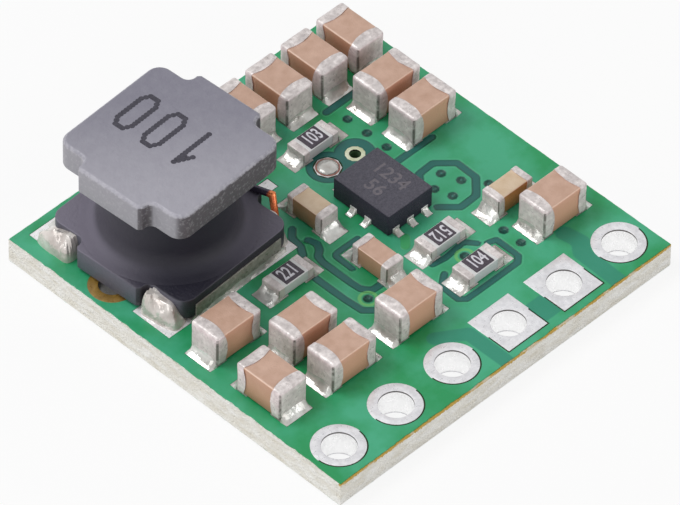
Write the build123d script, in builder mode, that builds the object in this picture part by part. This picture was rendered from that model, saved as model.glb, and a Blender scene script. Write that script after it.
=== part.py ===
from build123d import *
from dataclasses import dataclass
from math import acos, atan2, cos, hypot, radians, sin
import os

os.makedirs("parts", exist_ok=True)

# Board: a coated laminate, whose tinned pads stand proud of the faces by the coat's thickness.
# Its underside centre is the origin, and the header row runs along X by the near edge.
board_width = 15.0
board_thickness = 1.0
pad_thickness = 0.03

# Header row: plated holes for a standard pin strip, which the board is as long as
header_pitch = 2.54
header_count = 6
header_end_distance = 1.15
header_edge_distance = 1.2
header_hole_radius = 0.585
header_pad_radius = 0.88
header_pad_reach = 0.05
left_round_count = 3
square_count = 2
plating_thickness = 0.035

# Plated hole at the board's edge, half under the choke
edge_hole_x = -6.55
edge_hole_y = 3.72
edge_hole_radius = 0.45
edge_hole_ring_radius = 0.8

# Open via with its bare ring, small enough to be drawn with flats
open_via_x = 3.14
open_via_y = 2.44
open_via_radius = 0.2
open_via_ring_radius = 0.345
via_sides = 12

# Round test pad with a bead of solder, and a small square one left bare
bead_pad_x = 2.07
bead_pad_y = 2.62
bead_pad_radius = 0.465
bead_pad_sides = 8
bead_radius = 0.32
bead_height = 0.1
bead_slope = 50.0
bare_pad_x = 0.08
bare_pad_y = 3.38
bare_pad_side = 0.47

# Large ceramic capacitors, and their pads and solder
large_capacitor_length = 2.0
large_capacitor_width = 1.25
large_capacitor_height = 1.25
large_capacitor_band = 0.36
large_capacitor_pad_toe = 0.27
large_capacitor_pad_width = 1.15
large_capacitor_solder_climb = 0.4

# Small ceramic capacitors, and their pads and solder
small_capacitor_length = 1.6
small_capacitor_width = 0.8
small_capacitor_height = 0.8
small_capacitor_band = 0.3
small_capacitor_pad_toe = 0.42
small_capacitor_pad_width = 0.85
small_capacitor_solder_climb = 0.36

# Thick-film resistors, and their pads and solder
resistor_length = 1.6
resistor_width = 0.8
resistor_height = 0.45
resistor_band = 0.3
resistor_pad_toe = 0.42
resistor_pad_width = 0.85
resistor_solder_climb = 0.26
resistor_coat_thickness = 0.015
resistor_coat_margin = 0.05

# Terminals of the chips: metal over the ceramic, the bow of its rim and the eased edges
terminal_skin = 0.04
terminal_bow = 0.1
chip_edge_ease = 0.07
solder_film = 0.02
fillet_hollow = 0.4

# Regulator: a leadless moulded package
regulator_x = 2.24
regulator_y = 0.30
regulator_length = 2.0
regulator_width = 2.5
regulator_height = 0.88
regulator_edge_ease = 0.03
lead_width = 0.3
lead_depth = 0.4
lead_thickness = 0.2
lead_proud = 0.01
lead_pitch = 0.65
lead_pad_toe = 0.3
lead_solder_climb = 0.16
end_row_leads = 3
side_row_leads = 2

# Choke: a notched drum core with a copper winding, set a little askew on its land
choke_land_x = -4.02
choke_land_y = 3.965
choke_shift_x = 0.16
choke_shift_y = -0.115
choke_turn = 3.0
choke_solder_film = 0.03
electrode_plate = 0.1
electrode_depth = 1.5
electrode_lip = 0.05
electrode_lip_height = 0.62
lower_flange_thickness = 0.82
upper_flange_thickness = 1.05
winding_space = 2.55
lower_flange_depth = 5.9
lower_lobe_length = 5.0
lower_bulge_length = 5.96
upper_flange_depth = 5.36
upper_lobe_length = 4.8
upper_bulge_length = 5.78
bulge_depth = 2.75
lobe_radius = 0.5
bulge_chamfer = 0.12
notch_radius = 0.3
notch_share = 0.55
chamfer_share = 0.42
upper_rim_bevel = 0.1
post_radius = 1.35
winding_radius = 2.2
winding_turns = 4
turn_relief = 0.1
wire_radius = 0.13
wire_sides = 8
wire_notch_clearance = 0.45
wire_notch_pass = 0.375
wire_foot_clearance = 0.22
wire_foot_pass = 0.775
wire_foot_height = 0.15
choke_pad_reach = 0.375
choke_pad_toe = 0.245
choke_pad_inset = 0.085
choke_solder_climb = 0.45
mound_climb = 0.72
mound_toe_height = 0.2
mound_inset = 0.1


@dataclass(frozen=True)
class Chip:
    """Sizes of a two-terminal chip and of its land on the board."""

    length: float
    width: float
    height: float
    band: float
    pad_toe: float
    pad_width: float
    solder_climb: float


large_capacitor = Chip(
    large_capacitor_length,
    large_capacitor_width,
    large_capacitor_height,
    large_capacitor_band,
    large_capacitor_pad_toe,
    large_capacitor_pad_width,
    large_capacitor_solder_climb,
)
small_capacitor = Chip(
    small_capacitor_length,
    small_capacitor_width,
    small_capacitor_height,
    small_capacitor_band,
    small_capacitor_pad_toe,
    small_capacitor_pad_width,
    small_capacitor_solder_climb,
)
resistor = Chip(
    resistor_length,
    resistor_width,
    resistor_height,
    resistor_band,
    resistor_pad_toe,
    resistor_pad_width,
    resistor_solder_climb,
)

# Where the chips stand: kind, centre, and the axis that their length follows
capacitors = (
    (large_capacitor, 6.28, 5.83, "Y"),
    (large_capacitor, 4.64, 5.83, "Y"),
    (large_capacitor, 3.00, 5.80, "Y"),
    (large_capacitor, 1.36, 5.83, "Y"),
    (large_capacitor, 5.67, 3.55, "X"),
    (large_capacitor, 5.67, 1.92, "X"),
    (large_capacitor, 5.68, -3.95, "X"),
    (large_capacitor, -0.90, -3.96, "X"),
    (large_capacitor, -5.74, -0.62, "X"),
    (large_capacitor, -3.98, -2.30, "X"),
    (large_capacitor, -3.93, -3.98, "X"),
    (large_capacitor, -6.37, -3.30, "Y"),
    (small_capacitor, 5.12, -2.47, "X"),
    (small_capacitor, 0.10, 1.35, "Y"),
    (small_capacitor, 0.02, -1.68, "Y"),
)
resistors = (
    (resistor, 2.36, 3.60, "X"),
    (resistor, -2.48, -0.13, "X"),
    (resistor, 2.21, -2.31, "X"),
    (resistor, 2.21, -4.00, "X"),
)

# Heights, lengths, radii and places that the board's pieces share
board_length = (header_count - 1) * header_pitch + 2 * header_end_distance
laminate_top = board_thickness - pad_thickness
barrel_radius = header_hole_radius + plating_thickness
edge_barrel_radius = edge_hole_radius + plating_thickness
via_barrel_radius = open_via_radius + plating_thickness
reached_radius = header_pad_radius + header_pad_reach
header_y = header_edge_distance - board_width / 2
header_places = [
    ((place - (header_count - 1) / 2) * header_pitch, header_y) for place in range(header_count)
]
square_places = header_places[left_round_count : left_round_count + square_count]
round_places = [spot for spot in header_places if spot not in square_places]

# The choke's land: two pads that reach past the core's lobes and its electrodes
choke_x = choke_land_x + choke_shift_x
choke_y = choke_land_y + choke_shift_y
flange_face = lower_flange_depth / 2
choke_land_length = lower_lobe_length + 2 * choke_pad_reach
choke_pad_outer = flange_face + choke_pad_toe
choke_pad_inner = flange_face - electrode_depth + choke_pad_inset
choke_pad_depth = choke_pad_outer - choke_pad_inner
choke_land_span = choke_pad_outer + choke_pad_inner

# Seat planes of the board, the regulator and the choke
pad_floor = Plane.XY.offset(laminate_top)
regulator_seat = Plane(origin=(regulator_x, regulator_y, board_thickness))
choke_seat = Plane(
    origin=(choke_x, choke_y, board_thickness),
    x_dir=(cos(radians(choke_turn)), sin(radians(choke_turn)), 0),
)


def keep(builder, name):
    """Label a finished piece and write it."""
    builder.part.label = name
    export_step(builder.part, f"parts/{name}.step")


def seat_at(x, y, along):
    """Plane on the board's top under a chip, with its X axis along the chip."""
    x_dir = (1, 0, 0) if along == "X" else (0, 1, 0)
    return Plane(origin=(x, y, board_thickness), x_dir=x_dir)


def side_view(seat):
    """Plane through a seat's centre, seen from its side: X along, Y up."""
    return Plane(origin=seat.origin, x_dir=seat.x_dir, z_dir=-seat.y_dir)


def end_view(seat):
    """Plane through a seat's centre, seen from its end: X across, Y up."""
    return Plane(origin=seat.origin, x_dir=seat.y_dir, z_dir=seat.x_dir)


def eased_block(seat, length, width, height, ease):
    """A block on its seat with its upper edges chamfered: two outlines that meet."""
    with BuildPart() as block:
        with BuildSketch(side_view(seat)) as side:
            with Locations((0, height / 2)):
                Rectangle(length, height)
            chamfer(side.vertices().group_by(Axis.Y)[-1], ease)
        extrude(amount=width, both=True)
        with BuildSketch(end_view(seat)) as end:
            with Locations((0, height / 2)):
                Rectangle(width, height)
            chamfer(end.vertices().group_by(Axis.Y)[-1], ease)
        extrude(amount=length, both=True, mode=Mode.INTERSECT)
    return block


def end_caps(seat, chip, pocket_width):
    """Two metal caps on a chip's ends, whose rims bow towards its middle."""
    rim = chip.length / 2 - chip.band
    half_width = chip.width / 2
    block = eased_block(seat, chip.length, chip.width, chip.height, chip_edge_ease)
    with BuildPart() as caps:
        add(block.part)
        with BuildSketch(seat):
            with BuildLine():
                Polyline(
                    (0, half_width),
                    (rim, half_width),
                    (rim - terminal_bow, half_width / 2),
                    (rim - terminal_bow, -half_width / 2),
                    (rim, -half_width),
                    (0, -half_width),
                    close=True,
                )
            make_face()
            mirror(about=Plane.YZ)
        extrude(amount=chip.height, mode=Mode.SUBTRACT)
        with BuildSketch(seat.offset(terminal_skin)):
            Rectangle(chip.length - 2 * terminal_skin, pocket_width)
        extrude(amount=chip.height - 2 * terminal_skin, mode=Mode.SUBTRACT)
    return caps


def ceramic_block(seat, chip, width):
    """The fired ceramic of a chip, which fills its caps."""
    with BuildPart() as ceramic:
        with BuildSketch(seat.offset(terminal_skin)):
            Rectangle(chip.length - 2 * terminal_skin, width)
        extrude(amount=chip.height - 2 * terminal_skin)
    return ceramic


def draw_joint(inner, face, toe, climb):
    """Draw a pad and its solder in side view: a film under the terminal, a hollow fillet beside it."""
    Polyline(
        (inner, -pad_thickness),
        (toe, -pad_thickness),
        (toe, 0),
        (face + fillet_hollow * (toe - face), fillet_hollow * climb),
        (face, climb),
        (face, solder_film),
        (inner, solder_film),
        close=True,
    )


def lead_seats():
    """Planes under the regulator's leads, each at the package's face with X pointing out of it."""
    seats = []
    for side in (-1, 1):
        for place in range(end_row_leads):
            x = regulator_x + (place - (end_row_leads - 1) / 2) * lead_pitch
            y = regulator_y + side * regulator_width / 2
            seats.append(Plane(origin=(x, y, board_thickness), x_dir=(0, side, 0)))
        for place in range(side_row_leads):
            x = regulator_x + side * regulator_length / 2
            y = regulator_y + (place - (side_row_leads - 1) / 2) * lead_pitch
            seats.append(Plane(origin=(x, y, board_thickness), x_dir=(side, 0, 0)))
    return seats


def flange_outline(lobe_length, bulge_length, depth):
    """Outline of a drum flange: a lobe at each corner and a bulge on each side."""
    step = (bulge_length - lobe_length) / 2
    with BuildSketch() as outline:
        Rectangle(lobe_length, depth)
        Rectangle(bulge_length, bulge_depth)
        rows = outline.vertices().group_by(Axis.Y)
        notches = rows[1].sort_by(Axis.X)[1:3] + rows[2].sort_by(Axis.X)[1:3]
        fillet(notches, min(notch_radius, notch_share * step))
        ends = outline.vertices().group_by(Axis.Y)
        fillet(ends[0] + ends[-1], lobe_radius)
        sides = outline.vertices().group_by(Axis.X)
        chamfer(sides[0] + sides[-1], min(bulge_chamfer, chamfer_share * step))
    return outline.sketch


# Laminate, drilled for everything that is plated through
with BuildPart() as laminate:
    with BuildSketch(Plane.XY.offset(pad_thickness)):
        Rectangle(board_length, board_width)
        with Locations(*header_places):
            Circle(barrel_radius, mode=Mode.SUBTRACT)
        with Locations((edge_hole_x, edge_hole_y)):
            Circle(edge_barrel_radius, mode=Mode.SUBTRACT)
        with Locations((open_via_x, open_via_y)):
            RegularPolygon(via_barrel_radius, via_sides, mode=Mode.SUBTRACT)
    extrude(amount=laminate_top - pad_thickness)
keep(laminate, "laminate")

# Plated barrels of the header row, with a pad on each face.
# The copper pour meets the upper pads from inside the board, and there the tin reaches further.
with BuildPart() as header_sleeves:
    with BuildSketch(Plane.XY, pad_floor):
        with Locations(*round_places):
            Circle(header_pad_radius)
        with Locations(*square_places):
            Rectangle(2 * header_pad_radius, 2 * header_pad_radius)
    extrude(amount=pad_thickness)
    with BuildSketch(pad_floor):
        with Locations(*round_places):
            Circle(reached_radius)
        with Locations(*square_places):
            Rectangle(2 * reached_radius, 2 * reached_radius)
        with Locations((0, header_y - reached_radius)):
            Rectangle(board_length, 2 * reached_radius, mode=Mode.SUBTRACT)
    extrude(amount=pad_thickness)
    with BuildSketch(Plane.XY.offset(pad_thickness)):
        with Locations(*header_places):
            Circle(barrel_radius)
    extrude(amount=laminate_top - pad_thickness)
    with BuildSketch():
        with Locations(*header_places):
            Circle(header_hole_radius)
    extrude(amount=board_thickness, mode=Mode.SUBTRACT)
keep(header_sleeves, "header_sleeves")

# Plated hole at the board's edge
with BuildPart() as edge_hole_sleeve:
    with BuildSketch(Plane.XY, pad_floor):
        with Locations((edge_hole_x, edge_hole_y)):
            Circle(edge_hole_ring_radius)
    extrude(amount=pad_thickness)
    with BuildSketch(Plane.XY.offset(pad_thickness)):
        with Locations((edge_hole_x, edge_hole_y)):
            Circle(edge_barrel_radius)
    extrude(amount=laminate_top - pad_thickness)
    with BuildSketch():
        with Locations((edge_hole_x, edge_hole_y)):
            Circle(edge_hole_radius)
    extrude(amount=board_thickness, mode=Mode.SUBTRACT)
keep(edge_hole_sleeve, "edge_hole_sleeve")

# Open via, with a ring on the upper face
with BuildPart() as open_via_sleeve:
    with BuildSketch(pad_floor):
        with Locations((open_via_x, open_via_y)):
            RegularPolygon(open_via_ring_radius, via_sides)
    extrude(amount=pad_thickness)
    with BuildSketch(Plane.XY.offset(pad_thickness)):
        with Locations((open_via_x, open_via_y)):
            RegularPolygon(via_barrel_radius, via_sides)
    extrude(amount=laminate_top - pad_thickness)
    with BuildSketch():
        with Locations((open_via_x, open_via_y)):
            RegularPolygon(open_via_radius, via_sides)
    extrude(amount=board_thickness, mode=Mode.SUBTRACT)
keep(open_via_sleeve, "open_via_sleeve")

# Bare pads: the choke's two, the one that carries a bead of solder and the small one
with BuildPart() as solder_pads:
    with BuildSketch(pad_floor):
        with Locations((choke_land_x, choke_land_y)):
            with GridLocations(0, choke_land_span, 1, 2):
                Rectangle(choke_land_length, choke_pad_depth)
        with Locations((bead_pad_x, bead_pad_y)):
            RegularPolygon(bead_pad_radius, bead_pad_sides)
        with Locations((bare_pad_x, bare_pad_y)):
            Rectangle(bare_pad_side, bare_pad_side)
    extrude(amount=pad_thickness)
keep(solder_pads, "solder_pads")

# Chips: a ceramic body and a pair of metal caps each, standing on a film of solder
for number, (chip, x, y, along) in enumerate(capacitors, start=1):
    seat = seat_at(x, y, along).offset(solder_film)
    body_width = chip.width - 2 * terminal_skin
    keep(ceramic_block(seat, chip, body_width), f"capacitor_{number}_body")
    keep(end_caps(seat, chip, body_width), f"capacitor_{number}_terminals")

for number, (chip, x, y, along) in enumerate(resistors, start=1):
    seat = seat_at(x, y, along).offset(solder_film)
    keep(ceramic_block(seat, chip, chip.width), f"resistor_{number}_body")
    keep(end_caps(seat, chip, chip.width), f"resistor_{number}_terminals")
    with BuildPart() as coat:
        with BuildSketch(seat.offset(chip.height - terminal_skin)):
            Rectangle(
                chip.length - 2 * (chip.band + terminal_bow), chip.width - 2 * resistor_coat_margin
            )
        extrude(amount=terminal_skin + resistor_coat_thickness)
    keep(coat, f"resistor_{number}_coat")

# Regulator: a moulded body with its leads let into the lower edges
package = eased_block(
    regulator_seat.offset(solder_film),
    regulator_length,
    regulator_width,
    regulator_height,
    regulator_edge_ease,
)
with BuildPart() as regulator_leads:
    for seat in lead_seats():
        with BuildSketch(seat.offset(solder_film)):
            with Locations(((lead_proud - lead_depth) / 2, 0)):
                Rectangle(lead_depth + lead_proud, lead_width)
        extrude(amount=lead_thickness)
keep(regulator_leads, "regulator_leads")

with BuildPart() as regulator_body:
    add(package.part)
    add(regulator_leads.part, mode=Mode.SUBTRACT)
keep(regulator_body, "regulator_body")

# Solder joints of the chips and the regulator, and the bead on the test pad
with BuildPart() as board_solder:
    for chip, x, y, along in capacitors + resistors:
        face = chip.length / 2
        with BuildSketch(side_view(seat_at(x, y, along))):
            with BuildLine():
                draw_joint(face - chip.band - terminal_bow, face, face + chip.pad_toe, chip.solder_climb)
            make_face()
            mirror(about=Plane.YZ)
        extrude(amount=chip.pad_width / 2, both=True)
    for seat in lead_seats():
        with BuildSketch(side_view(seat)):
            with BuildLine():
                draw_joint(-lead_depth, lead_proud, lead_pad_toe, lead_solder_climb)
            make_face()
        extrude(amount=lead_width / 2, both=True)
    with BuildSketch(Plane.XY.offset(board_thickness)):
        with Locations((bead_pad_x, bead_pad_y)):
            RegularPolygon(bead_radius, bead_pad_sides)
    extrude(amount=bead_height, taper=bead_slope)
keep(board_solder, "board_solder")

# Choke core: two notched flanges on a round post
lower_flange_base = choke_solder_film + electrode_plate
post_base = lower_flange_base + lower_flange_thickness
lower_flange = flange_outline(lower_lobe_length, lower_bulge_length, lower_flange_depth)
upper_flange = flange_outline(upper_lobe_length, upper_bulge_length, upper_flange_depth)
with BuildPart() as choke_core:
    with BuildSketch(choke_seat.offset(lower_flange_base)):
        add(lower_flange)
    extrude(amount=lower_flange_thickness)
    with BuildSketch(choke_seat.offset(post_base)):
        Circle(post_radius)
    extrude(amount=winding_space)
    with BuildSketch(choke_seat.offset(post_base + winding_space)):
        add(upper_flange)
    extrude(amount=upper_flange_thickness)
    chamfer(choke_core.faces().sort_by(Axis.Z)[-1].edges(), upper_rim_bevel)
keep(choke_core, "choke_core")

# Winding: turns of wire laid side by side, which leave shallow valleys between them
with BuildPart() as choke_winding:
    turn_height = winding_space / winding_turns
    with BuildSketch(side_view(choke_seat)):
        with BuildLine():
            rim = [(winding_radius - turn_relief, post_base)]
            for turn in range(winding_turns):
                floor = post_base + turn * turn_height
                rim.append((winding_radius, floor + turn_height / 2))
                rim.append((winding_radius - turn_relief, floor + turn_height))
            Polyline(*rim, (post_radius, post_base + winding_space), (post_radius, post_base), close=True)
        make_face()
    revolve(axis=Axis(choke_seat.origin, choke_seat.z_dir))
keep(choke_winding, "choke_winding")

# Wire ends: each leaves the winding along a tangent, crosses a notch and drops to its electrode
wire_level = post_base + wire_radius
wire_notch_x = lower_lobe_length / 2 + wire_notch_clearance
wire_notch_y = -bulge_depth / 2 - wire_notch_pass
wire_foot_x = lower_lobe_length / 2 + wire_foot_clearance
wire_foot_y = -bulge_depth / 2 - wire_foot_pass
tangent_radius = winding_radius + wire_radius
tangent_share = tangent_radius / hypot(wire_notch_x, wire_notch_y)
leaving_angle = atan2(wire_notch_y, wire_notch_x) + acos(tangent_share)
wire_route = (
    (tangent_radius * cos(leaving_angle), tangent_radius * sin(leaving_angle), wire_level),
    (wire_notch_x, wire_notch_y, wire_level),
    (wire_foot_x, wire_foot_y, wire_foot_height),
)
with BuildPart() as choke_wire_ends:
    for turned in (0, 180):
        start, notch, foot = [
            choke_seat.from_local_coords(Vector(*point).rotate(Axis.Z, turned)) for point in wire_route
        ]
        with BuildLine() as route:
            Polyline(start, notch, foot)
        with BuildSketch(Plane(origin=start, z_dir=notch - start)):
            RegularPolygon(wire_radius, wire_sides)
        sweep(path=route.line, transition=Transition.RIGHT)
keep(choke_wire_ends, "choke_wire_ends")

# Electrodes: a plate under each end of the lower flange, with a lip up its face
electrode_length = lower_lobe_length - 2 * lobe_radius
with BuildPart() as choke_electrodes:
    with BuildSketch(end_view(choke_seat)):
        with BuildLine():
            Polyline(
                (flange_face - electrode_depth, choke_solder_film),
                (flange_face + electrode_lip, choke_solder_film),
                (flange_face + electrode_lip, choke_solder_film + electrode_lip_height),
                (flange_face, choke_solder_film + electrode_lip_height),
                (flange_face, lower_flange_base),
                (flange_face - electrode_depth, lower_flange_base),
                close=True,
            )
        make_face()
        mirror(about=Plane.YZ)
    extrude(amount=electrode_length / 2, both=True)
keep(choke_electrodes, "choke_electrodes")

# Choke solder: a film under each electrode with a fillet up its lip, and a mound at each corner.
# The mounds lie in the core's notches and close round the wire ends.
land_offset = choke_seat.to_local_coords(Vector(choke_land_x, choke_land_y, board_thickness))
mound_start = bulge_depth / 2 + notch_radius
mound_end = flange_face - mound_inset
with BuildPart() as choke_solder:
    for side in (-1, 1):
        heel = flange_face - electrode_depth
        face = flange_face + electrode_lip
        toe = choke_pad_outer + side * land_offset.Y
        with BuildSketch(end_view(choke_seat)):
            with BuildLine():
                Polyline(
                    (side * face, choke_solder_climb),
                    (side * face, choke_solder_film),
                    (side * heel, choke_solder_film),
                    (side * heel, 0),
                    (side * toe, 0),
                    close=True,
                )
            make_face()
        extrude(amount=electrode_length / 2, both=True)
        middle = choke_seat.from_local_coords(Vector(0, side * (mound_start + mound_end) / 2, 0))
        for end in (-1, 1):
            toe = choke_land_length / 2 + end * land_offset.X
            with BuildSketch(side_view(Plane(origin=middle, x_dir=choke_seat.x_dir))):
                with BuildLine():
                    Polyline(
                        (end * lower_lobe_length / 2, mound_climb),
                        (end * lower_lobe_length / 2, lower_flange_base),
                        (end * electrode_length / 2, lower_flange_base),
                        (end * electrode_length / 2, 0),
                        (end * toe, 0),
                        (end * toe, mound_toe_height),
                        close=True,
                    )
                make_face()
            extrude(amount=(mound_end - mound_start) / 2, both=True)
    add(choke_wire_ends.part, mode=Mode.SUBTRACT)
keep(choke_solder, "choke_solder")
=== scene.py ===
"""Looks of a small converter board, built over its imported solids."""

import itertools
import logging
import math
from dataclasses import dataclass, replace
from enum import Enum
from functools import cached_property

import bmesh
import bpy
import numpy as np
from bmesh.types import BMEdge, BMesh, BMVert
from mathutils import Matrix, Vector, noise


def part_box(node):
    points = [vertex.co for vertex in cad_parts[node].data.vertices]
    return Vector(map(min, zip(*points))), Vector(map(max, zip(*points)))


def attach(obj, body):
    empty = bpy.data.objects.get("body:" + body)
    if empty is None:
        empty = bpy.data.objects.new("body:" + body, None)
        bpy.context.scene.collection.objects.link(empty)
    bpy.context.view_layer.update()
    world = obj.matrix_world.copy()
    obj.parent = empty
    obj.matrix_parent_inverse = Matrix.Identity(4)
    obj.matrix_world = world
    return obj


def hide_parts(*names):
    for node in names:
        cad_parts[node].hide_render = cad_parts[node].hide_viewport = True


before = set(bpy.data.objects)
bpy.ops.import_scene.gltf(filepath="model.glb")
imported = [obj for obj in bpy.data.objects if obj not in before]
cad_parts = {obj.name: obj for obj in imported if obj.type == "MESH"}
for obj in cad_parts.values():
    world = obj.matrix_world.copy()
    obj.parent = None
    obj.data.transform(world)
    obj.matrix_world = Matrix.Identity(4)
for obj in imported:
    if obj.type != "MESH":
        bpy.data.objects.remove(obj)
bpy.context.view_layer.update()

Colour = tuple[float, float, float, float]
Point = tuple[float, float]

MM = 0.001
ROOT_BODY = "root"
BOARD_TOP = 1.0
BOARD_HALF = 7.5
COAT_DEPTH = 0.03
MERGE_REACH = 0.0005
INK_MERGE_REACH = 0.0001
SHARP_ANGLE = math.radians(40.0)
SMOOTH_ANGLE = math.radians(42.0)
ROUND_STEPS = 48
SQUARE = ((-1, -1), (1, -1), (1, 1), (-1, 1))
COAT_MARKS = ("gap", "via", "bare", "pale", "ring")

log = logging.getLogger("converter_board")


class Along(Enum):
    """The board axis that a chip's length follows."""

    X = 0.0
    Y = 90.0


class Slot(Enum):
    """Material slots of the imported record."""

    BOARD = "board"
    TIN = "tinned_metal"
    SOLDER = "solder"
    BROWN = "brown_ceramic"
    YELLOW = "yellow_ceramic"
    WHITE = "white_ceramic"
    COAT = "dark_coat"
    MOULDING = "moulding"
    FERRITE = "ferrite"
    COPPER = "copper_wire"


# Nodes and materials


class Signal:
    """An output of a node, with plain arithmetic that adds the next nodes."""

    def __init__(self, graph: "Graph", socket: bpy.types.NodeSocket) -> None:
        """Keep the output and the tree that it is in."""
        self.graph = graph
        self.socket = socket

    def __add__(self, other: object) -> "Signal":
        """Add a number."""
        return self.graph.math("ADD", self, other)

    def __sub__(self, other: object) -> "Signal":
        """Take a number away."""
        return self.graph.math("SUBTRACT", self, other)

    def __rsub__(self, other: float) -> "Signal":
        """Take it from a number."""
        return self.graph.math("SUBTRACT", other, self)

    def __mul__(self, other: object) -> "Signal":
        """Multiply by a number."""
        return self.graph.math("MULTIPLY", self, other)

    def __abs__(self) -> "Signal":
        """Drop the sign."""
        return self.graph.math("ABSOLUTE", self, 0.0)

    def span(self, low: object, high: float, to_low: float = 0.0, to_high: float = 1.0) -> "Signal":
        """Map a span smoothly to another span."""
        inputs = {0: self, 1: low, 2: high, 3: to_low, 4: to_high}
        return self.graph.signal("ShaderNodeMapRange", inputs, interpolation_type="SMOOTHSTEP")

    def toward(self, other: object, share: object) -> "Signal":
        """Mix this colour with another one."""
        return self.graph.mix(share, self, other)


class Graph:
    """A node tree with short calls for its nodes and links."""

    def __init__(self, tree: bpy.types.NodeTree) -> None:
        """Keep the tree that the nodes go into."""
        self.tree = tree

    def add(self, kind: str, inputs: dict | None = None, **settings: object) -> bpy.types.Node:
        """Add one node.

        Args:
            kind: Blender's name of the node type.
            inputs: socket name or number to a value, or to the signal that feeds it.
            settings: properties of the node itself.

        Returns:
            The new node.
        """
        node = self.tree.nodes.new(kind)
        for name, value in settings.items():
            setattr(node, name, value)
        for key, value in (inputs or {}).items():
            self.feed(node, key, value)
        return node

    def feed(self, node: bpy.types.Node, key: str | int, value: object) -> None:
        """Set an input of a node.

        Args:
            node: the node.
            key: name or number of the socket.
            value: a plain value, or the signal that feeds it.
        """
        if isinstance(value, Signal):
            self.tree.links.new(value.socket, node.inputs[key])
        else:
            node.inputs[key].default_value = value

    def signal(
        self, kind: str, inputs: dict | None = None, output: str | int = 0, **settings: object
    ) -> Signal:
        """Add one node and give one of its outputs."""
        return Signal(self, self.add(kind, inputs, **settings).outputs[output])

    def math(self, operation: str, first: object, second: object) -> Signal:
        """Combine two numbers."""
        return self.signal("ShaderNodeMath", {0: first, 1: second}, operation=operation)

    def mix(self, share: object, first: object, second: object) -> Signal:
        """Mix two colours."""
        return self.signal("ShaderNodeMix", {0: share, 6: first, 7: second}, 2, data_type="RGBA")

    def split(self, vector: Signal) -> list[Signal]:
        """Give a vector's three parts."""
        return [Signal(self, part) for part in self.add("ShaderNodeSeparateXYZ", {0: vector}).outputs]

    def seen(self) -> Signal:
        """Give 1 where the camera or a glossy surface looks, and 0 for the light itself."""
        path = self.add("ShaderNodeLightPath").outputs
        return self.math("MAXIMUM", *(Signal(self, path[f"Is {kind} Ray"]) for kind in ("Camera", "Glossy")))


def colour(red: float, green: float, blue: float) -> Colour:
    """Turn a colour as it shows on a screen, 0 to 255, into Blender's own."""
    shares = (value / 255.0 for value in (red, green, blue))
    return (*(s / 12.92 if s <= 0.04045 else ((s + 0.055) / 1.055) ** 2.4 for s in shares), 1.0)


class Effects:
    """Effects that several finishes share, each a node group made at its first use."""

    @staticmethod
    def begin(name: str, **defaults: object) -> tuple[Graph, dict[str, Signal]]:
        """Start a group that takes a place and other inputs.

        Args:
            name: name of the group.
            defaults: the other inputs, each a number or a colour.

        Returns:
            The group's graph, and its inputs by name.
        """
        graph = Graph(bpy.data.node_groups.new(name, "ShaderNodeTree"))
        sockets = graph.tree.interface
        sockets.new_socket("Place", in_out="INPUT", socket_type="NodeSocketVector")
        for label, value in defaults.items():
            kind = "NodeSocketFloat" if isinstance(value, float) else "NodeSocketColor"
            sockets.new_socket(label, in_out="INPUT", socket_type=kind).default_value = value
        given = graph.add("NodeGroupInput").outputs
        return graph, {label: Signal(graph, given[label]) for label in ("Place", *defaults)}

    @staticmethod
    def end(graph: Graph, label: str, result: Signal) -> bpy.types.NodeTree:
        """Give a group its output.

        Args:
            graph: the group's graph.
            label: name of the output, a colour where it says so.
            result: what the group puts out.

        Returns:
            The group.
        """
        kind = "NodeSocketColor" if label == "Colour" else "NodeSocketFloat"
        graph.tree.interface.new_socket(label, in_out="OUTPUT", socket_type=kind)
        graph.add("NodeGroupOutput", {label: result})
        return graph.tree

    @cached_property
    def grain(self) -> bpy.types.NodeTree:
        """Soft noise, stretched to the full span from 0 to 1."""
        graph, given = self.begin("fine_grain", Scale=5.0, Detail=3.0, Contrast=1.0)
        inputs = {"Vector": given["Place"], "Scale": given["Scale"], "Detail": given["Detail"]}
        spread = (graph.signal("ShaderNodeTexNoise", inputs) - 0.5) * given["Contrast"]
        return self.end(graph, "Value", graph.signal("ShaderNodeClamp", {0: spread * 2.0 + 0.5}))

    @cached_property
    def pits(self) -> bpy.types.NodeTree:
        """Small round spots scattered unevenly."""
        graph, given = self.begin("scattered_spots", Scale=6.0, Reach=0.25, Spread=0.5)
        inputs = {"Vector": given["Place"], "Scale": given["Scale"]}
        spots = graph.signal("ShaderNodeTexVoronoi", inputs, "Distance").span(given["Reach"], 0.02)
        patches = graph.signal("ShaderNodeTexNoise", {"Vector": given["Place"], "Scale": 1.7, "Detail": 2.0})
        return self.end(graph, "Mask", spots * (patches - given["Spread"]).span(-0.04, 0.06))

    @cached_property
    def tone(self) -> bpy.types.NodeTree:
        """A colour that wanders between a darker and a lighter tone."""
        shades = {"Dark": (0.2, 0.2, 0.2, 1.0), "Light": (0.8, 0.8, 0.8, 1.0)}
        graph, given = self.begin("wandering_tone", **shades, Scale=2.0, Contrast=1.0)
        inputs = {name: given[name] for name in ("Place", "Scale", "Contrast")}
        share = graph.signal("ShaderNodeGroup", {**inputs, "Detail": 4.0}, node_tree=self.grain)
        return self.end(graph, "Colour", graph.mix(share, given["Dark"], given["Light"]))


EFFECTS = Effects()


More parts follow.
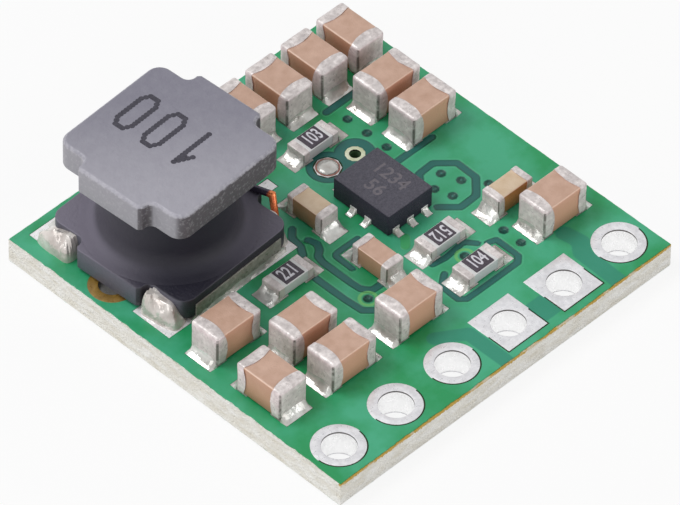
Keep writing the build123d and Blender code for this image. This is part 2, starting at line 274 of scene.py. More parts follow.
class Surface(Graph):
    """A material's nodes: its shader, the place and facing of each point, and the effects there."""

    def __init__(self, name: str) -> None:
        """Start the material."""
        self.material = bpy.data.materials.new(name)
        self.material.use_nodes = True
        super().__init__(self.material.node_tree)
        self.shader = self.tree.nodes["Principled BSDF"]

    @cached_property
    def place(self) -> Signal:
        """Position on the piece in millimetres."""
        here = self.signal("ShaderNodeTexCoord", output="Object")
        return self.signal("ShaderNodeMapping", {"Vector": here, "Scale": (1.0 / MM,) * 3})

    @cached_property
    def parts(self) -> list[Signal]:
        """The position's X, Y and height."""
        return self.split(self.place)

    @cached_property
    def facing(self) -> list[Signal]:
        """The three parts of the way that the surface faces."""
        return self.split(self.signal("ShaderNodeNewGeometry", output="Normal"))

    @cached_property
    def level(self) -> Signal:
        """1 on level faces and 0 on upright ones."""
        return abs(self.facing[2]).span(0.35, 0.75)

    @cached_property
    def upright(self) -> Signal:
        """1 on upright faces and 0 on level ones."""
        return 1.0 - self.level

    def effect(self, group: bpy.types.NodeTree, **inputs: object) -> Signal:
        """Place a shared effect, at the point's own place where no other is given."""
        return self.signal("ShaderNodeGroup", {"Place": self.place, **inputs}, node_tree=group)

    def grain(self, scale: float, detail: float, contrast: float) -> Signal:
        """Give soft noise from 0 to 1."""
        return self.effect(EFFECTS.grain, Scale=scale, Detail=detail, Contrast=contrast)

    def pits(self, scale: float, reach: float, spread: float) -> Signal:
        """Give 1 in scattered spots."""
        return self.effect(EFFECTS.pits, Scale=scale, Reach=reach, Spread=spread)

    def tone(self, dark: Colour, light: Colour, scale: float, contrast: float) -> Signal:
        """Give a colour that wanders between two tones."""
        return self.effect(EFFECTS.tone, Dark=dark, Light=light, Scale=scale, Contrast=contrast)

    def relief(self, height: Signal, distance: float) -> None:
        """Feed a height, in shares of a distance in millimetres, to the shader's normal."""
        bump = self.signal("ShaderNodeBump", {"Height": height, "Distance": distance * MM})
        self.feed(self.shader, "Normal", bump)


@dataclass(frozen=True)
class Finish:
    """A material of the board: a Principled surface with its own colour, gloss and relief."""

    name: str
    slot: Slot
    light: Colour
    dark: Colour
    roughness: float = 0.5
    ior: float = 1.5
    metallic: float = 0.0

    @cached_property
    def material(self) -> bpy.types.Material:
        """The material, made at its first use."""
        surface = Surface(self.name)
        for label, value in (("Roughness", self.roughness), ("IOR", self.ior), ("Metallic", self.metallic)):
            surface.feed(surface.shader, label, value)
        surface.feed(surface.shader, "Base Color", self.tint(surface, self.dress(surface)))
        return surface.material

    def dress(self, surface: Surface) -> Signal:
        """Set what changes over the surface, and give its colour."""
        raise NotImplementedError

    def tint(self, surface: Surface, base: Signal) -> Signal:
        """Change the colour by place or facing."""
        return base


@dataclass(frozen=True)
class MaskFinish(Finish):
    """Green coat of the board, darker where no copper lies under it."""

    name: str = "green_coat"
    slot: Slot = Slot.BOARD
    light: Colour = colour(66, 172, 130)
    dark: Colour = colour(24, 148, 86)
    roughness: float = 0.4
    over_gap: Colour = colour(26, 102, 94)
    over_bare: Colour = colour(34, 134, 110)
    # Painted highlight and painted shade: lines along the two edges of each copper gap.
    gap_edge_highlight: Colour = colour(92, 190, 148)
    shade_line: Colour = colour(12, 74, 70)
    pale: Colour = colour(60, 170, 92)
    ring: Colour = colour(108, 188, 112)
    ring_half: float = 0.05
    # Painted shade of each tented via's dimple and the hole under it, and a painted highlight in its middle.
    via_dip_shade: Colour = colour(8, 62, 62)
    via_dip_highlight: Colour = colour(70, 150, 138)
    groove_depth: float = 0.035

    def dress(self, surface: Surface) -> Signal:
        """Colour and relief from the distances that the mesh holds.

        Args:
            surface: the material's nodes.

        Returns:
            The colour.
        """
        gap, via, bare, pale, ring = (
            surface.signal("ShaderNodeAttribute", output="Fac", attribute_name=mark) for mark in COAT_MARKS
        )
        groove = gap.span(0.035, -0.015)
        trace = pale.span(0.03, -0.02)
        coat = surface.tone(self.dark, self.light, 0.5, 2.2)
        coat = coat.toward(self.over_bare, bare.span(0.03, -0.03) * 0.8)
        # Painted highlight along the gap's outer edge, and painted shade along its inner edge.
        coat = coat.toward(self.gap_edge_highlight, gap.span(0.09, 0.06) * gap.span(0.02, 0.045) * 0.3)
        shade = gap.span(0.035, 0.01) * gap.span(-0.05, -0.015) * 0.6
        coat = coat.toward(surface.mix(shade, self.over_gap, self.shade_line), groove)
        coat = coat.toward(self.pale, trace * 0.7)
        coat = coat.toward(self.ring, abs(ring).span(self.ring_half + 0.025, self.ring_half - 0.015))
        # Painted shade in the via's dimple.
        coat = coat.toward(self.via_dip_shade, via.span(0.01, -0.05) * 0.9)
        low = groove + via.span(0.0, -0.16) * 3.0
        surface.relief(surface.grain(5.0, 2.0, 0.8) * 0.14 - low + trace * 0.4, self.groove_depth)
        # Painted highlight in the via's middle.
        return coat.toward(self.via_dip_highlight, via.span(-0.12, -0.19) * 0.5)


@dataclass(frozen=True)
class LaminateFinish(Finish):
    """Sawn glass-fibre laminate, cream with layered fibres."""

    name: str = "glass_fibre"
    slot: Slot = Slot.BOARD
    light: Colour = colour(254, 253, 249)
    dark: Colour = colour(234, 229, 216)
    roughness: float = 0.8
    ior: float = 1.45
    tan: Colour = colour(206, 168, 76)
    under_coat: Colour = colour(58, 74, 48)
    tan_edge: float = -7.4
    skin_edge: float = 7.36
    fibre_depth: float = 0.04

    def dress(self, surface: Surface) -> Signal:
        """Layered fibres that run along the board's edges, and a darker skin on both faces.

        Args:
            surface: the material's nodes.

        Returns:
            The colour.
        """
        x, y, height = surface.parts
        stretched = surface.signal("ShaderNodeMapping", {"Vector": surface.place, "Scale": (1.0, 1.0, 3.0)})
        fibres = surface.effect(EFFECTS.grain, Place=stretched, Scale=1.8, Detail=6.0, Contrast=1.3)
        fine = surface.grain(12.0, 4.0, 1.3)
        rind = (height + fine * 0.08).span(0.87, 0.93)
        sawn = y.span(self.tan_edge, self.tan_edge - 0.05)
        strip = rind * sawn * fibres.span(0.2, 0.5, 0.4, 1.0)
        edged = surface.mix(fibres, self.dark, self.light).toward(self.tan, strip)
        inside = surface.math("MAXIMUM", abs(x), abs(y)).span(self.skin_edge, self.skin_edge - 0.02)
        surface.relief(fibres * 0.7 + fine, self.fibre_depth)
        return edged.toward(self.under_coat, surface.level * inside)


@dataclass(frozen=True)
class MetalFinish(Finish):
    """Tinned or soldered metal, mottled and finely pitted."""

    slot: Slot = Slot.TIN
    light: Colour = colour(248, 240, 238)
    dark: Colour = colour(204, 195, 193)
    roughness: float = 0.34
    ior: float = 1.55
    metallic: float = 0.12
    patch: Colour = colour(178, 170, 169)
    spot: Colour = colour(120, 112, 110)
    # Painted reflection: a warmer tint on upright faces.
    upright_reflection_tint: Colour = colour(236, 206, 212)
    # Painted shade: a dark line down rounded upright corners, and how strong it is.
    corner: Colour = colour(84, 72, 68)
    corner_shade_share: float = 0.0
    scale: float = 6.5
    patches: float = 0.45
    spots: float = 0.42
    spot_reach: float = 0.24
    relief_depth: float = 0.006

    def dress(self, surface: Surface) -> Signal:
        """Mottled colour, uneven gloss and fine relief.

        Args:
            surface: the material's nodes.

        Returns:
            The colour.
        """
        tone = surface.tone(self.dark, self.light, self.scale, 1.5)
        dulled = tone.toward(self.patch, surface.grain(self.scale * 0.4, 5.0, 2.2) * self.patches)
        pits = surface.pits(self.scale * 2.0, self.spot_reach, 1.0 - self.spots) if self.spots else 0.0
        grain = surface.grain(self.scale * 1.2, 3.0, 1.3)
        rough = grain.span(0.0, 1.0, self.roughness - 0.08, self.roughness + 0.12)
        surface.feed(surface.shader, "Roughness", rough)
        surface.relief(grain - pits, self.relief_depth)
        return dulled.toward(self.spot, pits)

    def tint(self, surface: Surface, base: Signal) -> Signal:
        """Warm the upright faces with a painted reflection tint, against the green that the board would
        reflect into them, and paint a line of shade down the upright corners.

        Args:
            surface: the material's nodes.
            base: the colour so far.

        Returns:
            The colour.
        """
        # Painted reflection tint on the upright faces.
        warmed = base.toward(self.upright_reflection_tint, surface.upright * 0.3)
        if not self.corner_shade_share:
            return warmed
        x, y, up = surface.facing
        # Painted shade along the upright corners, broken into patches.
        line = abs(x * y).span(0.3, 0.46) * up.span(0.35, 0.15)
        edge_patches = surface.grain(2.6, 3.0, 2.0).span(0.1, 0.6, 0.45, 1.0)
        return warmed.toward(self.corner, line * edge_patches * self.corner_shade_share)


@dataclass(frozen=True)
class SleeveFinish(MetalFinish):
    """Tin of a plated hole, whose barrel has its own colour: painted light in the header holes, painted shade
    in the edge hole and the open via.
    """

    # Painted light and shade inside the hole's barrel.
    barrel: Colour = colour(255, 255, 255)
    barrel_metallic: float = 0.95
    # Painted shade: a thin dark line at the barrel's upper end.
    edge_painted_light: Colour = colour(96, 92, 92)

    @staticmethod
    def inside(surface: Surface) -> Signal:
        """Give 1 in the barrel and 0 on the rings."""
        height = surface.parts[2]
        return height.span(0.03, 0.06) * height.span(0.96, 0.93)

    def dress(self, surface: Surface) -> Signal:
        """Dress it as other metal, but let the barrel shine.

        Args:
            surface: the material's nodes.

        Returns:
            The colour.
        """
        shine = self.inside(surface).span(0.0, 1.0, self.metallic, self.barrel_metallic)
        surface.feed(surface.shader, "Metallic", shine)
        return super().dress(surface)

    def tint(self, surface: Surface, base: Signal) -> Signal:
        """Give the barrel its painted light and shade, and paint a thin line of shade at its upper end."""
        barrel = base.toward(self.barrel, self.inside(surface))
        return barrel.toward(self.edge_painted_light, surface.upright * surface.parts[2].span(0.925, 0.94))


@dataclass(frozen=True)
class CeramicFinish(Finish):
    """Fired ceramic of a chip, matt with a faint grain."""

    name: str = "brown_ceramic"
    slot: Slot = Slot.BROWN
    light: Colour = colour(212, 176, 156)
    dark: Colour = colour(190, 152, 130)
    roughness: float = 0.36
    ior: float = 1.6
    # Painted shade on upright sides, painted light on sides that face -Y, and painted shade low down by the
    # board.
    side: Colour = colour(188, 136, 106)
    near_side_painted_light: Colour = colour(220, 164, 138)
    foot: Colour = colour(132, 86, 62)
    foot_height: float = 0.7
    # Painted highlight along the rounded edges.
    edge_painted_light: Colour = colour(242, 212, 190)
    tooth: float = 0.005

    def dress(self, surface: Surface) -> Signal:
        """A fine grain with a few darker specks, painted shade on the sides and low down by the board,
        painted light on the sides that face -Y, and painted highlights on the edges.

        Args:
            surface: the material's nodes.

        Returns:
            The colour.
        """
        _, way, up = surface.facing
        low = surface.parts[2].span(BOARD_TOP + self.foot_height, BOARD_TOP)
        body = surface.tone(self.dark, self.light, 3.0, 0.9)
        body = body.toward(self.dark, surface.pits(16.0, 0.2, 0.5) * 0.35)
        # Painted shade on the upright sides.
        body = body.toward(self.side, surface.upright * 0.7)
        # Painted light on the sides that face -Y.
        body = body.toward(self.near_side_painted_light, way.span(-0.4, -0.9))
        # Painted shade low on the sides, by the board.
        body = body.toward(self.foot, low * surface.upright * 0.5)
        surface.relief(surface.grain(18.0, 4.0, 1.2), self.tooth)
        # Painted highlight on the edges between top and sides.
        return body.toward(self.edge_painted_light, up.span(0.25, 0.5) * up.span(0.96, 0.85) * 0.55)


@dataclass(frozen=True)
class DarkFinish(Finish):
    """Dark matt surface with a fine tooth: ferrite, moulding compound or a resistor's coat."""

    fleck: Colour = colour(176, 176, 182)
    # Painted shade on the upright sides, where given.
    side: Colour | None = None
    scale: float = 9.0
    tooth: float = 0.02

    def dress(self, surface: Surface) -> Signal:
        """A pressed grain with small light flecks."""
        surface.relief(surface.grain(self.scale * 2.5, 6.0, 1.4), self.tooth)
        flecks = surface.pits(self.scale * 1.8, 0.22, 0.45) * 0.5
        return surface.tone(self.dark, self.light, self.scale, 1.2).toward(self.fleck, flecks)

    def tint(self, surface: Surface, base: Signal) -> Signal:
        """Paint shade on the upright sides, where a side colour is given."""
        return surface.mix(surface.level, self.side, base) if self.side else base


@dataclass(frozen=True)
class VarnishFinish(DarkFinish):
    """Resin over the winding, with painted light and shade: darkest on the line through the choke's near and
    far corners.
    """

    # Painted shade and light of the resin, by its distance from the line.
    resin_painted_shade: Colour = colour(22, 20, 36)
    resin_painted_light: Colour = colour(112, 107, 122)
    line_offset: float = 4.95
    line_span: Point = (0.4, 4.0)
    # Painted shade in the crease where the resin rounds up onto the lower flange.
    crease_shade: Colour = colour(18, 16, 28)
    crease_shade_span: Point = (2.105, 2.32)

    def resin(self, surface: Surface) -> Signal:
        """Give the resin's painted light and shade by its distance from the line."""
        away = abs((surface.parts[0] - surface.parts[1]) * math.sqrt(0.5) + self.line_offset)
        return surface.mix(away.span(*self.line_span), self.resin_painted_shade, self.resin_painted_light)

    def tint(self, surface: Surface, base: Signal) -> Signal:
        """Take the painted tone that the lower flange has there, with painted shade in the crease where the
        resin rounds up.
        """
        toned = base.toward(self.resin(surface), 0.97)
        # Painted shade in the crease, low on the resin.
        return toned.toward(self.crease_shade, surface.parts[2].span(*self.crease_shade_span, 0.0, 0.62))


@dataclass(frozen=True)
class FerriteFinish(VarnishFinish):
    """Pressed ferrite: varnished dark on the lower flange, with painted light and shade on both flanges, and
    paler in patches along the upper rim.
    """

    # Painted light across the upper flange's top: lighter at the near corner, darker at the far one.
    top_near_light: Colour = colour(176, 174, 183)
    top_far_shade: Colour = colour(122, 120, 134)
    rough_side: Colour = colour(152, 150, 157)
    # Painted shade on the upper flange's sides that face -Y.
    near_side_painted_light: Colour = colour(84, 79, 85)
    side_fleck: Colour = colour(188, 186, 190)
    lower_side: Colour = colour(84, 83, 95)
    # Painted shade on the lower flange's sides that face -Y.
    lower_near_side_shade: Colour = colour(42, 39, 48)
    # Paler patches along the upper rim's rounded edge.
    edge_patches: Colour = colour(186, 184, 192)
    lower_top: float = 2.1
    rim: float = 5.44

    def tint(self, surface: Surface, base: Signal) -> Signal:
        """Give each flange its own top and sides, with painted light across the upper top, painted shade on
        the sides that face -Y and the resin's painted tone on the lower flange, and pale the upper rim in
        patches.

        Args:
            surface: the material's nodes.
            base: the colour so far.

        Returns:
            The colour.
        """
        x, y, height = surface.parts
        _, way, up = surface.facing
        near = way.span(-0.4, -0.8)
        grain = surface.grain(9.0, 4.0, 1.8)
        # Painted shade on the sides that face -Y.
        side = surface.mix(near, self.rough_side, self.near_side_painted_light)
        side = side.toward(self.side_fleck, grain.span(0.6, 1.0) * 0.22)
        # Painted light: the top lighter towards the near corner.
        top = base.toward(surface.mix((x + y).span(-3.6, 3.0), self.top_near_light, self.top_far_shade), 0.6)
        upper = surface.mix(surface.level, side, top)
        # Painted shade on the lower flange's sides that face -Y, and the resin's painted light and shade on
        # its top.
        low_side = surface.mix(near, self.lower_side, self.lower_near_side_shade)
        lower = surface.mix(surface.level, low_side, self.resin(surface))
        flanged = upper.toward(lower, height.span(self.lower_top + 0.1, self.lower_top - 0.1))
        # Paler patches along the upper rim's rounded edge.
        band = height.span(self.rim - 0.03, self.rim) * (1.0 - up.span(0.9, 0.97))
        return flanged.toward(self.edge_patches, band * grain.span(0.1, 0.8) * 0.5)


@dataclass(frozen=True)
class WireFinish(MetalFinish):
    """Enamelled copper, bare and bright only past the varnish."""

    bare_from: float = 2.4
    varnished: Colour = colour(60, 54, 70)

    def tint(self, surface: Surface, base: Signal) -> Signal:
        """Cover the wire with varnish as far as its last bend."""
        bare = surface.parts[1].span(self.bare_from, self.bare_from - 0.1)
        return surface.mix(bare, self.varnished, base)


@dataclass(frozen=True)
class PrintFinish(Finish):
    """Thin print or a burnt mark."""

    roughness: float = 0.6

    def dress(self, surface: Surface) -> Signal:
        """Slightly uneven cover."""
        return surface.tone(self.dark, self.light, 12.0, 1.2)


class Look(Enum):
    """The finish of every kind of piece."""

    MASK = MaskFinish()
    LAMINATE = LaminateFinish()
    PAD = MetalFinish(
        "pad_tin", light=colour(244, 243, 244), dark=colour(228, 227, 228),
        metallic=0.3, patches=0.1, spots=0.0, relief_depth=0.0008,
    )
    SLEEVE = SleeveFinish(
        "sleeve_tin", light=colour(240, 240, 243), dark=colour(222, 222, 226),
        metallic=0.25, patches=0.1, spots=0.0, relief_depth=0.0006,
    )
    # The darker barrels of the edge hole and the open via are painted shade inside the hole.
    RING = SleeveFinish(
        "worn_ring", light=colour(158, 126, 62), dark=colour(132, 102, 44), patch=colour(120, 92, 40),
        barrel=colour(112, 110, 106), barrel_metallic=0.2, metallic=0.15, spots=0.25, relief_depth=0.003,
    )
    VIA = SleeveFinish(
        "open_via_tin", light=colour(238, 240, 218), dark=colour(216, 222, 186), patch=colour(196, 206, 160),
        barrel=colour(92, 124, 88), barrel_metallic=0.2, edge_painted_light=colour(40, 44, 34),
        spots=0.0, relief_depth=0.003,
    )
    CAP = MetalFinish("end_cap_tin", corner_shade_share=0.8)
    # Darker and greener than the other tin: painted shade under the flange and a painted reflection of the
    # green board.
    FOOT = MetalFinish(
        "foot_tin", light=colour(170, 168, 158), dark=colour(122, 122, 112),
        patch=colour(104, 104, 92), upright_reflection_tint=colour(140, 134, 126), spots=0.0,
    )
    SOLDER = MetalFinish(
        "solder", Slot.SOLDER, light=colour(240, 240, 236), dark=colour(200, 200, 196),
        spot=colour(84, 82, 76), upright_reflection_tint=colour(206, 198, 194), patch=colour(146, 134, 124),
        metallic=0.35, roughness=0.15, scale=3.0, patches=0.5, spots=0.26, relief_depth=0.014,
    )
    HEAP = MetalFinish(
        "heaped_solder", Slot.SOLDER, light=colour(255, 252, 248), dark=colour(220, 212, 206),
        spot=colour(92, 66, 50), upright_reflection_tint=colour(216, 200, 196), patch=colour(116, 102, 92),
        metallic=0.3, roughness=0.15, scale=2.2, patches=0.5, spots=0.3, relief_depth=0.03,
    )
    WIRE = WireFinish(
        "enamelled_copper", Slot.COPPER, light=colour(255, 158, 96), dark=colour(222, 104, 56),
        patch=colour(170, 62, 34), spot=colour(110, 44, 26),
        metallic=0.45, roughness=0.22, spots=0.3, relief_depth=0.004,
    )
    BROWN = CeramicFinish()
    YELLOW = CeramicFinish(
        "yellow_ceramic", Slot.YELLOW, light=colour(228, 206, 180), dark=colour(210, 182, 148),
        side=colour(150, 94, 50), near_side_painted_light=colour(206, 140, 84), foot=colour(46, 32, 24),
    )
    WHITE = CeramicFinish(
        "white_ceramic", Slot.WHITE, light=colour(232, 232, 232), dark=colour(216, 216, 216),
        side=colour(214, 214, 216), near_side_painted_light=colour(224, 220, 224),
        edge_painted_light=colour(240, 240, 242), foot=colour(180, 180, 182),
    )
    COAT = DarkFinish(
        "resistor_coat", Slot.COAT, light=colour(72, 62, 74), dark=colour(52, 44, 54),
        fleck=colour(96, 88, 100), roughness=0.42, tooth=0.008,
    )
    # Its darker side colour is painted shade.
    MOULDING = DarkFinish(
        "moulding", Slot.MOULDING, light=colour(88, 86, 98), dark=colour(64, 62, 74),
        fleck=colour(116, 114, 126), side=colour(34, 27, 50), roughness=0.55, scale=12.0,
    )
    FERRITE = FerriteFinish(
        "ferrite", Slot.FERRITE, light=colour(152, 151, 162), dark=colour(135, 133, 146),
        fleck=colour(168, 166, 176), roughness=0.5, scale=3.5, tooth=0.008,
    )
    VARNISH = VarnishFinish(
        "winding_varnish", Slot.COPPER, light=colour(50, 44, 62), dark=colour(34, 29, 46),
        fleck=colour(58, 52, 70), roughness=0.64, scale=1.6, tooth=0.006,
    )
    RESIDUE = PrintFinish("brown_residue", Slot.SOLDER, colour(190, 132, 118), colour(112, 62, 52), 0.35)
    PRINT = PrintFinish("white_print", Slot.COAT, colour(228, 226, 232), colour(196, 194, 204))
    FAINT = PrintFinish("faint_mark", Slot.MOULDING, colour(112, 106, 112), colour(92, 88, 96))
    MARK = PrintFinish("burnt_mark", Slot.FERRITE, colour(74, 72, 82), colour(54, 52, 62), 0.8)


# Mesh tools, all in millimetres


def stand(x: float, y: float, height: float, turn: float = 0.0) -> Matrix:
    """Give a place on the board, turned by some degrees about the upright axis."""
    return Matrix.Translation((x, y, height)) @ Matrix.Rotation(math.radians(turn), 4, "Z")


def block(size: tuple[float, ...], centre: tuple[float, ...]) -> BMesh:
    """Start a bmesh with one block.

    Args:
        size: its length, width and height.
        centre: its middle.

    Returns:
        The bmesh.
    """
    bm = bmesh.new()
    bmesh.ops.create_cube(bm, size=1.0, matrix=Matrix.Translation(centre) @ Matrix.Diagonal((*size, 1.0)))
    return bm


def disc(bm: BMesh, lower: float, upper: float, depth: float, centre: Vector, segments: int) -> None:
    """Add a flat disc.

    Args:
        bm: where it goes.
        lower: radius of its lower side.
        upper: radius of its upper side.
        depth: its height.
        centre: its middle.
        segments: number of its sides.
    """
    bmesh.ops.create_cone(
        bm, cap_ends=True, segments=segments, radius1=lower, radius2=upper,
        depth=depth, matrix=Matrix.Translation(centre),
    )


def soften(bm: BMesh, edges: list[BMEdge], width: float, segments: int = 3) -> None:
    """Round some edges."""
    bmesh.ops.bevel(
        bm, geom=edges, offset=width, offset_type="OFFSET", segments=segments,
        profile=0.5, affect="EDGES", material=-1, clamp_overlap=True,
    )


def sharp_edges(bm: BMesh) -> list[BMEdge]:
    """List the edges where two faces meet at a marked angle."""
    return [e for e in bm.edges if len(e.link_faces) == 2 and e.calc_face_angle(0.0) > SHARP_ANGLE]


def merge(bm: BMesh, reach: float = MERGE_REACH) -> None:
    """Merge the points that lie together."""
    bmesh.ops.remove_doubles(bm, verts=bm.verts[:], dist=reach)


def cut(bm: BMesh, point: Vector, normal: Vector, **how: object) -> None:
    """Cut through everything at a plane."""
    bmesh.ops.bisect_plane(bm, geom=[*bm.verts, *bm.edges, *bm.faces], plane_co=point, plane_no=normal, **how)


def close(bm: BMesh) -> None:
    """Fill the holes that a cut has left."""
    bmesh.ops.holes_fill(bm, edges=[e for e in bm.edges if e.is_boundary])


def unsettle(bm: BMesh, amount: float, scale: float, seed: float) -> None:
    """Push every vertex a little along its normal by smooth noise, inwards only.

    Args:
        bm: the shape.
        amount: the deepest push.
        scale: how close the dents lie.
        seed: start of the noise.
    """
    bm.normal_update()
    offset = Vector((seed, seed * 1.7, seed * 0.3))
    for vertex in bm.verts:
        push = noise.noise(vertex.co * scale + offset) - 1.0
        vertex.co += vertex.normal * push * 0.5 * amount


def mesh_of(curve: bpy.types.Curve, reach: float) -> BMesh:
    """Turn an outline or a text into a bmesh.

    Args:
        curve: the outline or the text.
        reach: distance within which its points are merged.

    Returns:
        The bmesh.
    """
    drawing = bpy.data.objects.new("drawing", curve)
    bm = bmesh.new()
    bm.from_mesh(bpy.data.meshes.new_from_object(drawing))
    bpy.data.objects.remove(drawing)
    merge(bm, reach)
    return bm


def finish_piece(
    bm: BMesh, name: str, look: Look, place: Matrix | None = None, replaces: str = "", flat: bool = False
) -> bpy.types.Object:
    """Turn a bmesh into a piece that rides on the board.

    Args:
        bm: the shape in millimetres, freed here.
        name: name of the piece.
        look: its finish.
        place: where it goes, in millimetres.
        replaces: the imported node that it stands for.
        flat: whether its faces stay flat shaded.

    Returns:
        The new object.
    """
    bmesh.ops.recalc_face_normals(bm, faces=bm.faces[:])
    bm.transform(Matrix.Scale(MM, 4) @ (place or Matrix.Identity(4)))
    mesh = bpy.data.meshes.new(name)
    bm.to_mesh(mesh)
    bm.free()
    mesh.materials.append(look.value.material)
    if not flat:
        mesh.shade_smooth()
        mesh.set_sharp_from_angle(angle=SMOOTH_ANGLE)
    piece = bpy.data.objects.new(name, mesh)
    bpy.context.scene.collection.objects.link(piece)
    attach(piece, ROOT_BODY)
    if replaces:
        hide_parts(replaces)
    log.info("%s: %d faces", name, len(mesh.polygons))
    return piece


def copy_of(node: str, ease: float = 0.0, segments: int = 2) -> BMesh:
    """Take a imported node's mesh as one merged surface, in millimetres, with eased edges.

    Args:
        node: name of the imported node.
        ease: width of the rounding on its sharp edges.
        segments: steps of that rounding.

    Returns:
        The bmesh.
    """
    bm = bmesh.new()
    bm.from_mesh(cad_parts[node].data)
    bm.transform(Matrix.Scale(1.0 / MM, 4))
    merge(bm)
    bmesh.ops.dissolve_limit(bm, angle_limit=math.radians(0.5), verts=bm.verts[:], edges=bm.edges[:])
    if ease:
        soften(bm, sharp_edges(bm), ease, segments)
    return bm


def redress(node: str, name: str, look: Look, ease: float = 0.0) -> None:
    """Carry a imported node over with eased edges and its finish."""
    finish_piece(copy_of(node, ease), name, look, replaces=node)


def box_of(node: str) -> tuple[Vector, Vector]:
    """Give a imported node's lowest and highest corner in millimetres."""
    low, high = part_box(node)
    return low / MM, high / MM


def print_number(name: str, text: str, height: float, look: Look, place: Matrix) -> None:
    """Print a number as thin raised ink.

    Args:
        name: name of the piece.
        text: the digits.
        height: height of a digit in millimetres.
        look: the ink.
        place: middle of the number, in millimetres, its digits running along X.
    """
    curve = bpy.data.curves.new(name, "FONT")
    curve.body = text
    curve.align_x = "CENTER"
    curve.align_y = "CENTER"
    curve.size = height / 0.7
    curve.extrude = 0.001
    curve.offset = 0.012
    finish_piece(mesh_of(curve, INK_MERGE_REACH), name, look, place, flat=True)


# Sub-assemblies


@dataclass(frozen=True)
class Stripe:
    """A run of points and its width: a gap between two copper areas, or a trace under the coat."""

    width: float
    points: tuple[Point, ...]

    def distance(self, spots: np.ndarray) -> np.ndarray:
        """Give each spot's distance to the stripe's edge, less than zero inside it.

        Args:
            spots: places on the board.

        Returns:
            The distances.
        """
        found = []
        for first, second in itertools.pairwise(np.array(self.points)):
            run = second - first
            share = np.clip(((spots - first) @ run) / (run @ run), 0.0, 1.0)
            found.append(np.hypot(*(spots - first - share[:, None] * run).T))
        return np.min(found, axis=0) - self.width / 2


@dataclass(frozen=True)
class Window:
    """An opening in the coat: its centre, half sizes and whether it is round."""

    x: float
    y: float
    half_x: float
    half_y: float
    round: bool = False

    def loop(self) -> list[Point]:
        """List the points of its outline."""
        turns = [2.0 * math.pi * step / ROUND_STEPS for step in range(ROUND_STEPS)]
        ways = [(math.cos(turn), math.sin(turn)) for turn in turns] if self.round else SQUARE
        return [(self.x + self.half_x * a, self.y + self.half_y * b) for a, b in ways]


@dataclass(frozen=True)
class Land:
    """A pad that starts and ends some way from a middle, with the height of its solder."""

    inner: float
    toe: float
    width: float
    climb: float

    def window(self, x: float, y: float, turn: float, margin: float) -> Window:
        """Give the coat's opening over the pad.

        Args:
            x: the middle's place across the board.
            y: the middle's place along the board.
            turn: quarter turn at which the pad lies, in degrees.
            margin: how far the coat keeps off the pad.

        Returns:
            The opening.
        """
        dx, dy = round(math.cos(math.radians(turn))), round(math.sin(math.radians(turn)))
        shift = (self.toe + self.inner) / 2
        halves = ((self.toe - self.inner) / 2 + margin, self.width / 2 + margin)
        return Window(x + dx * shift, y + dy * shift, *(halves if dx else halves[::-1]))


LARGE_LAND = Land(0.54, 1.27, 1.15, 0.3)
SMALL_LAND = Land(0.40, 1.22, 0.85, 0.32)
RESISTOR_LAND = Land(0.40, 1.22, 0.85, 0.26)


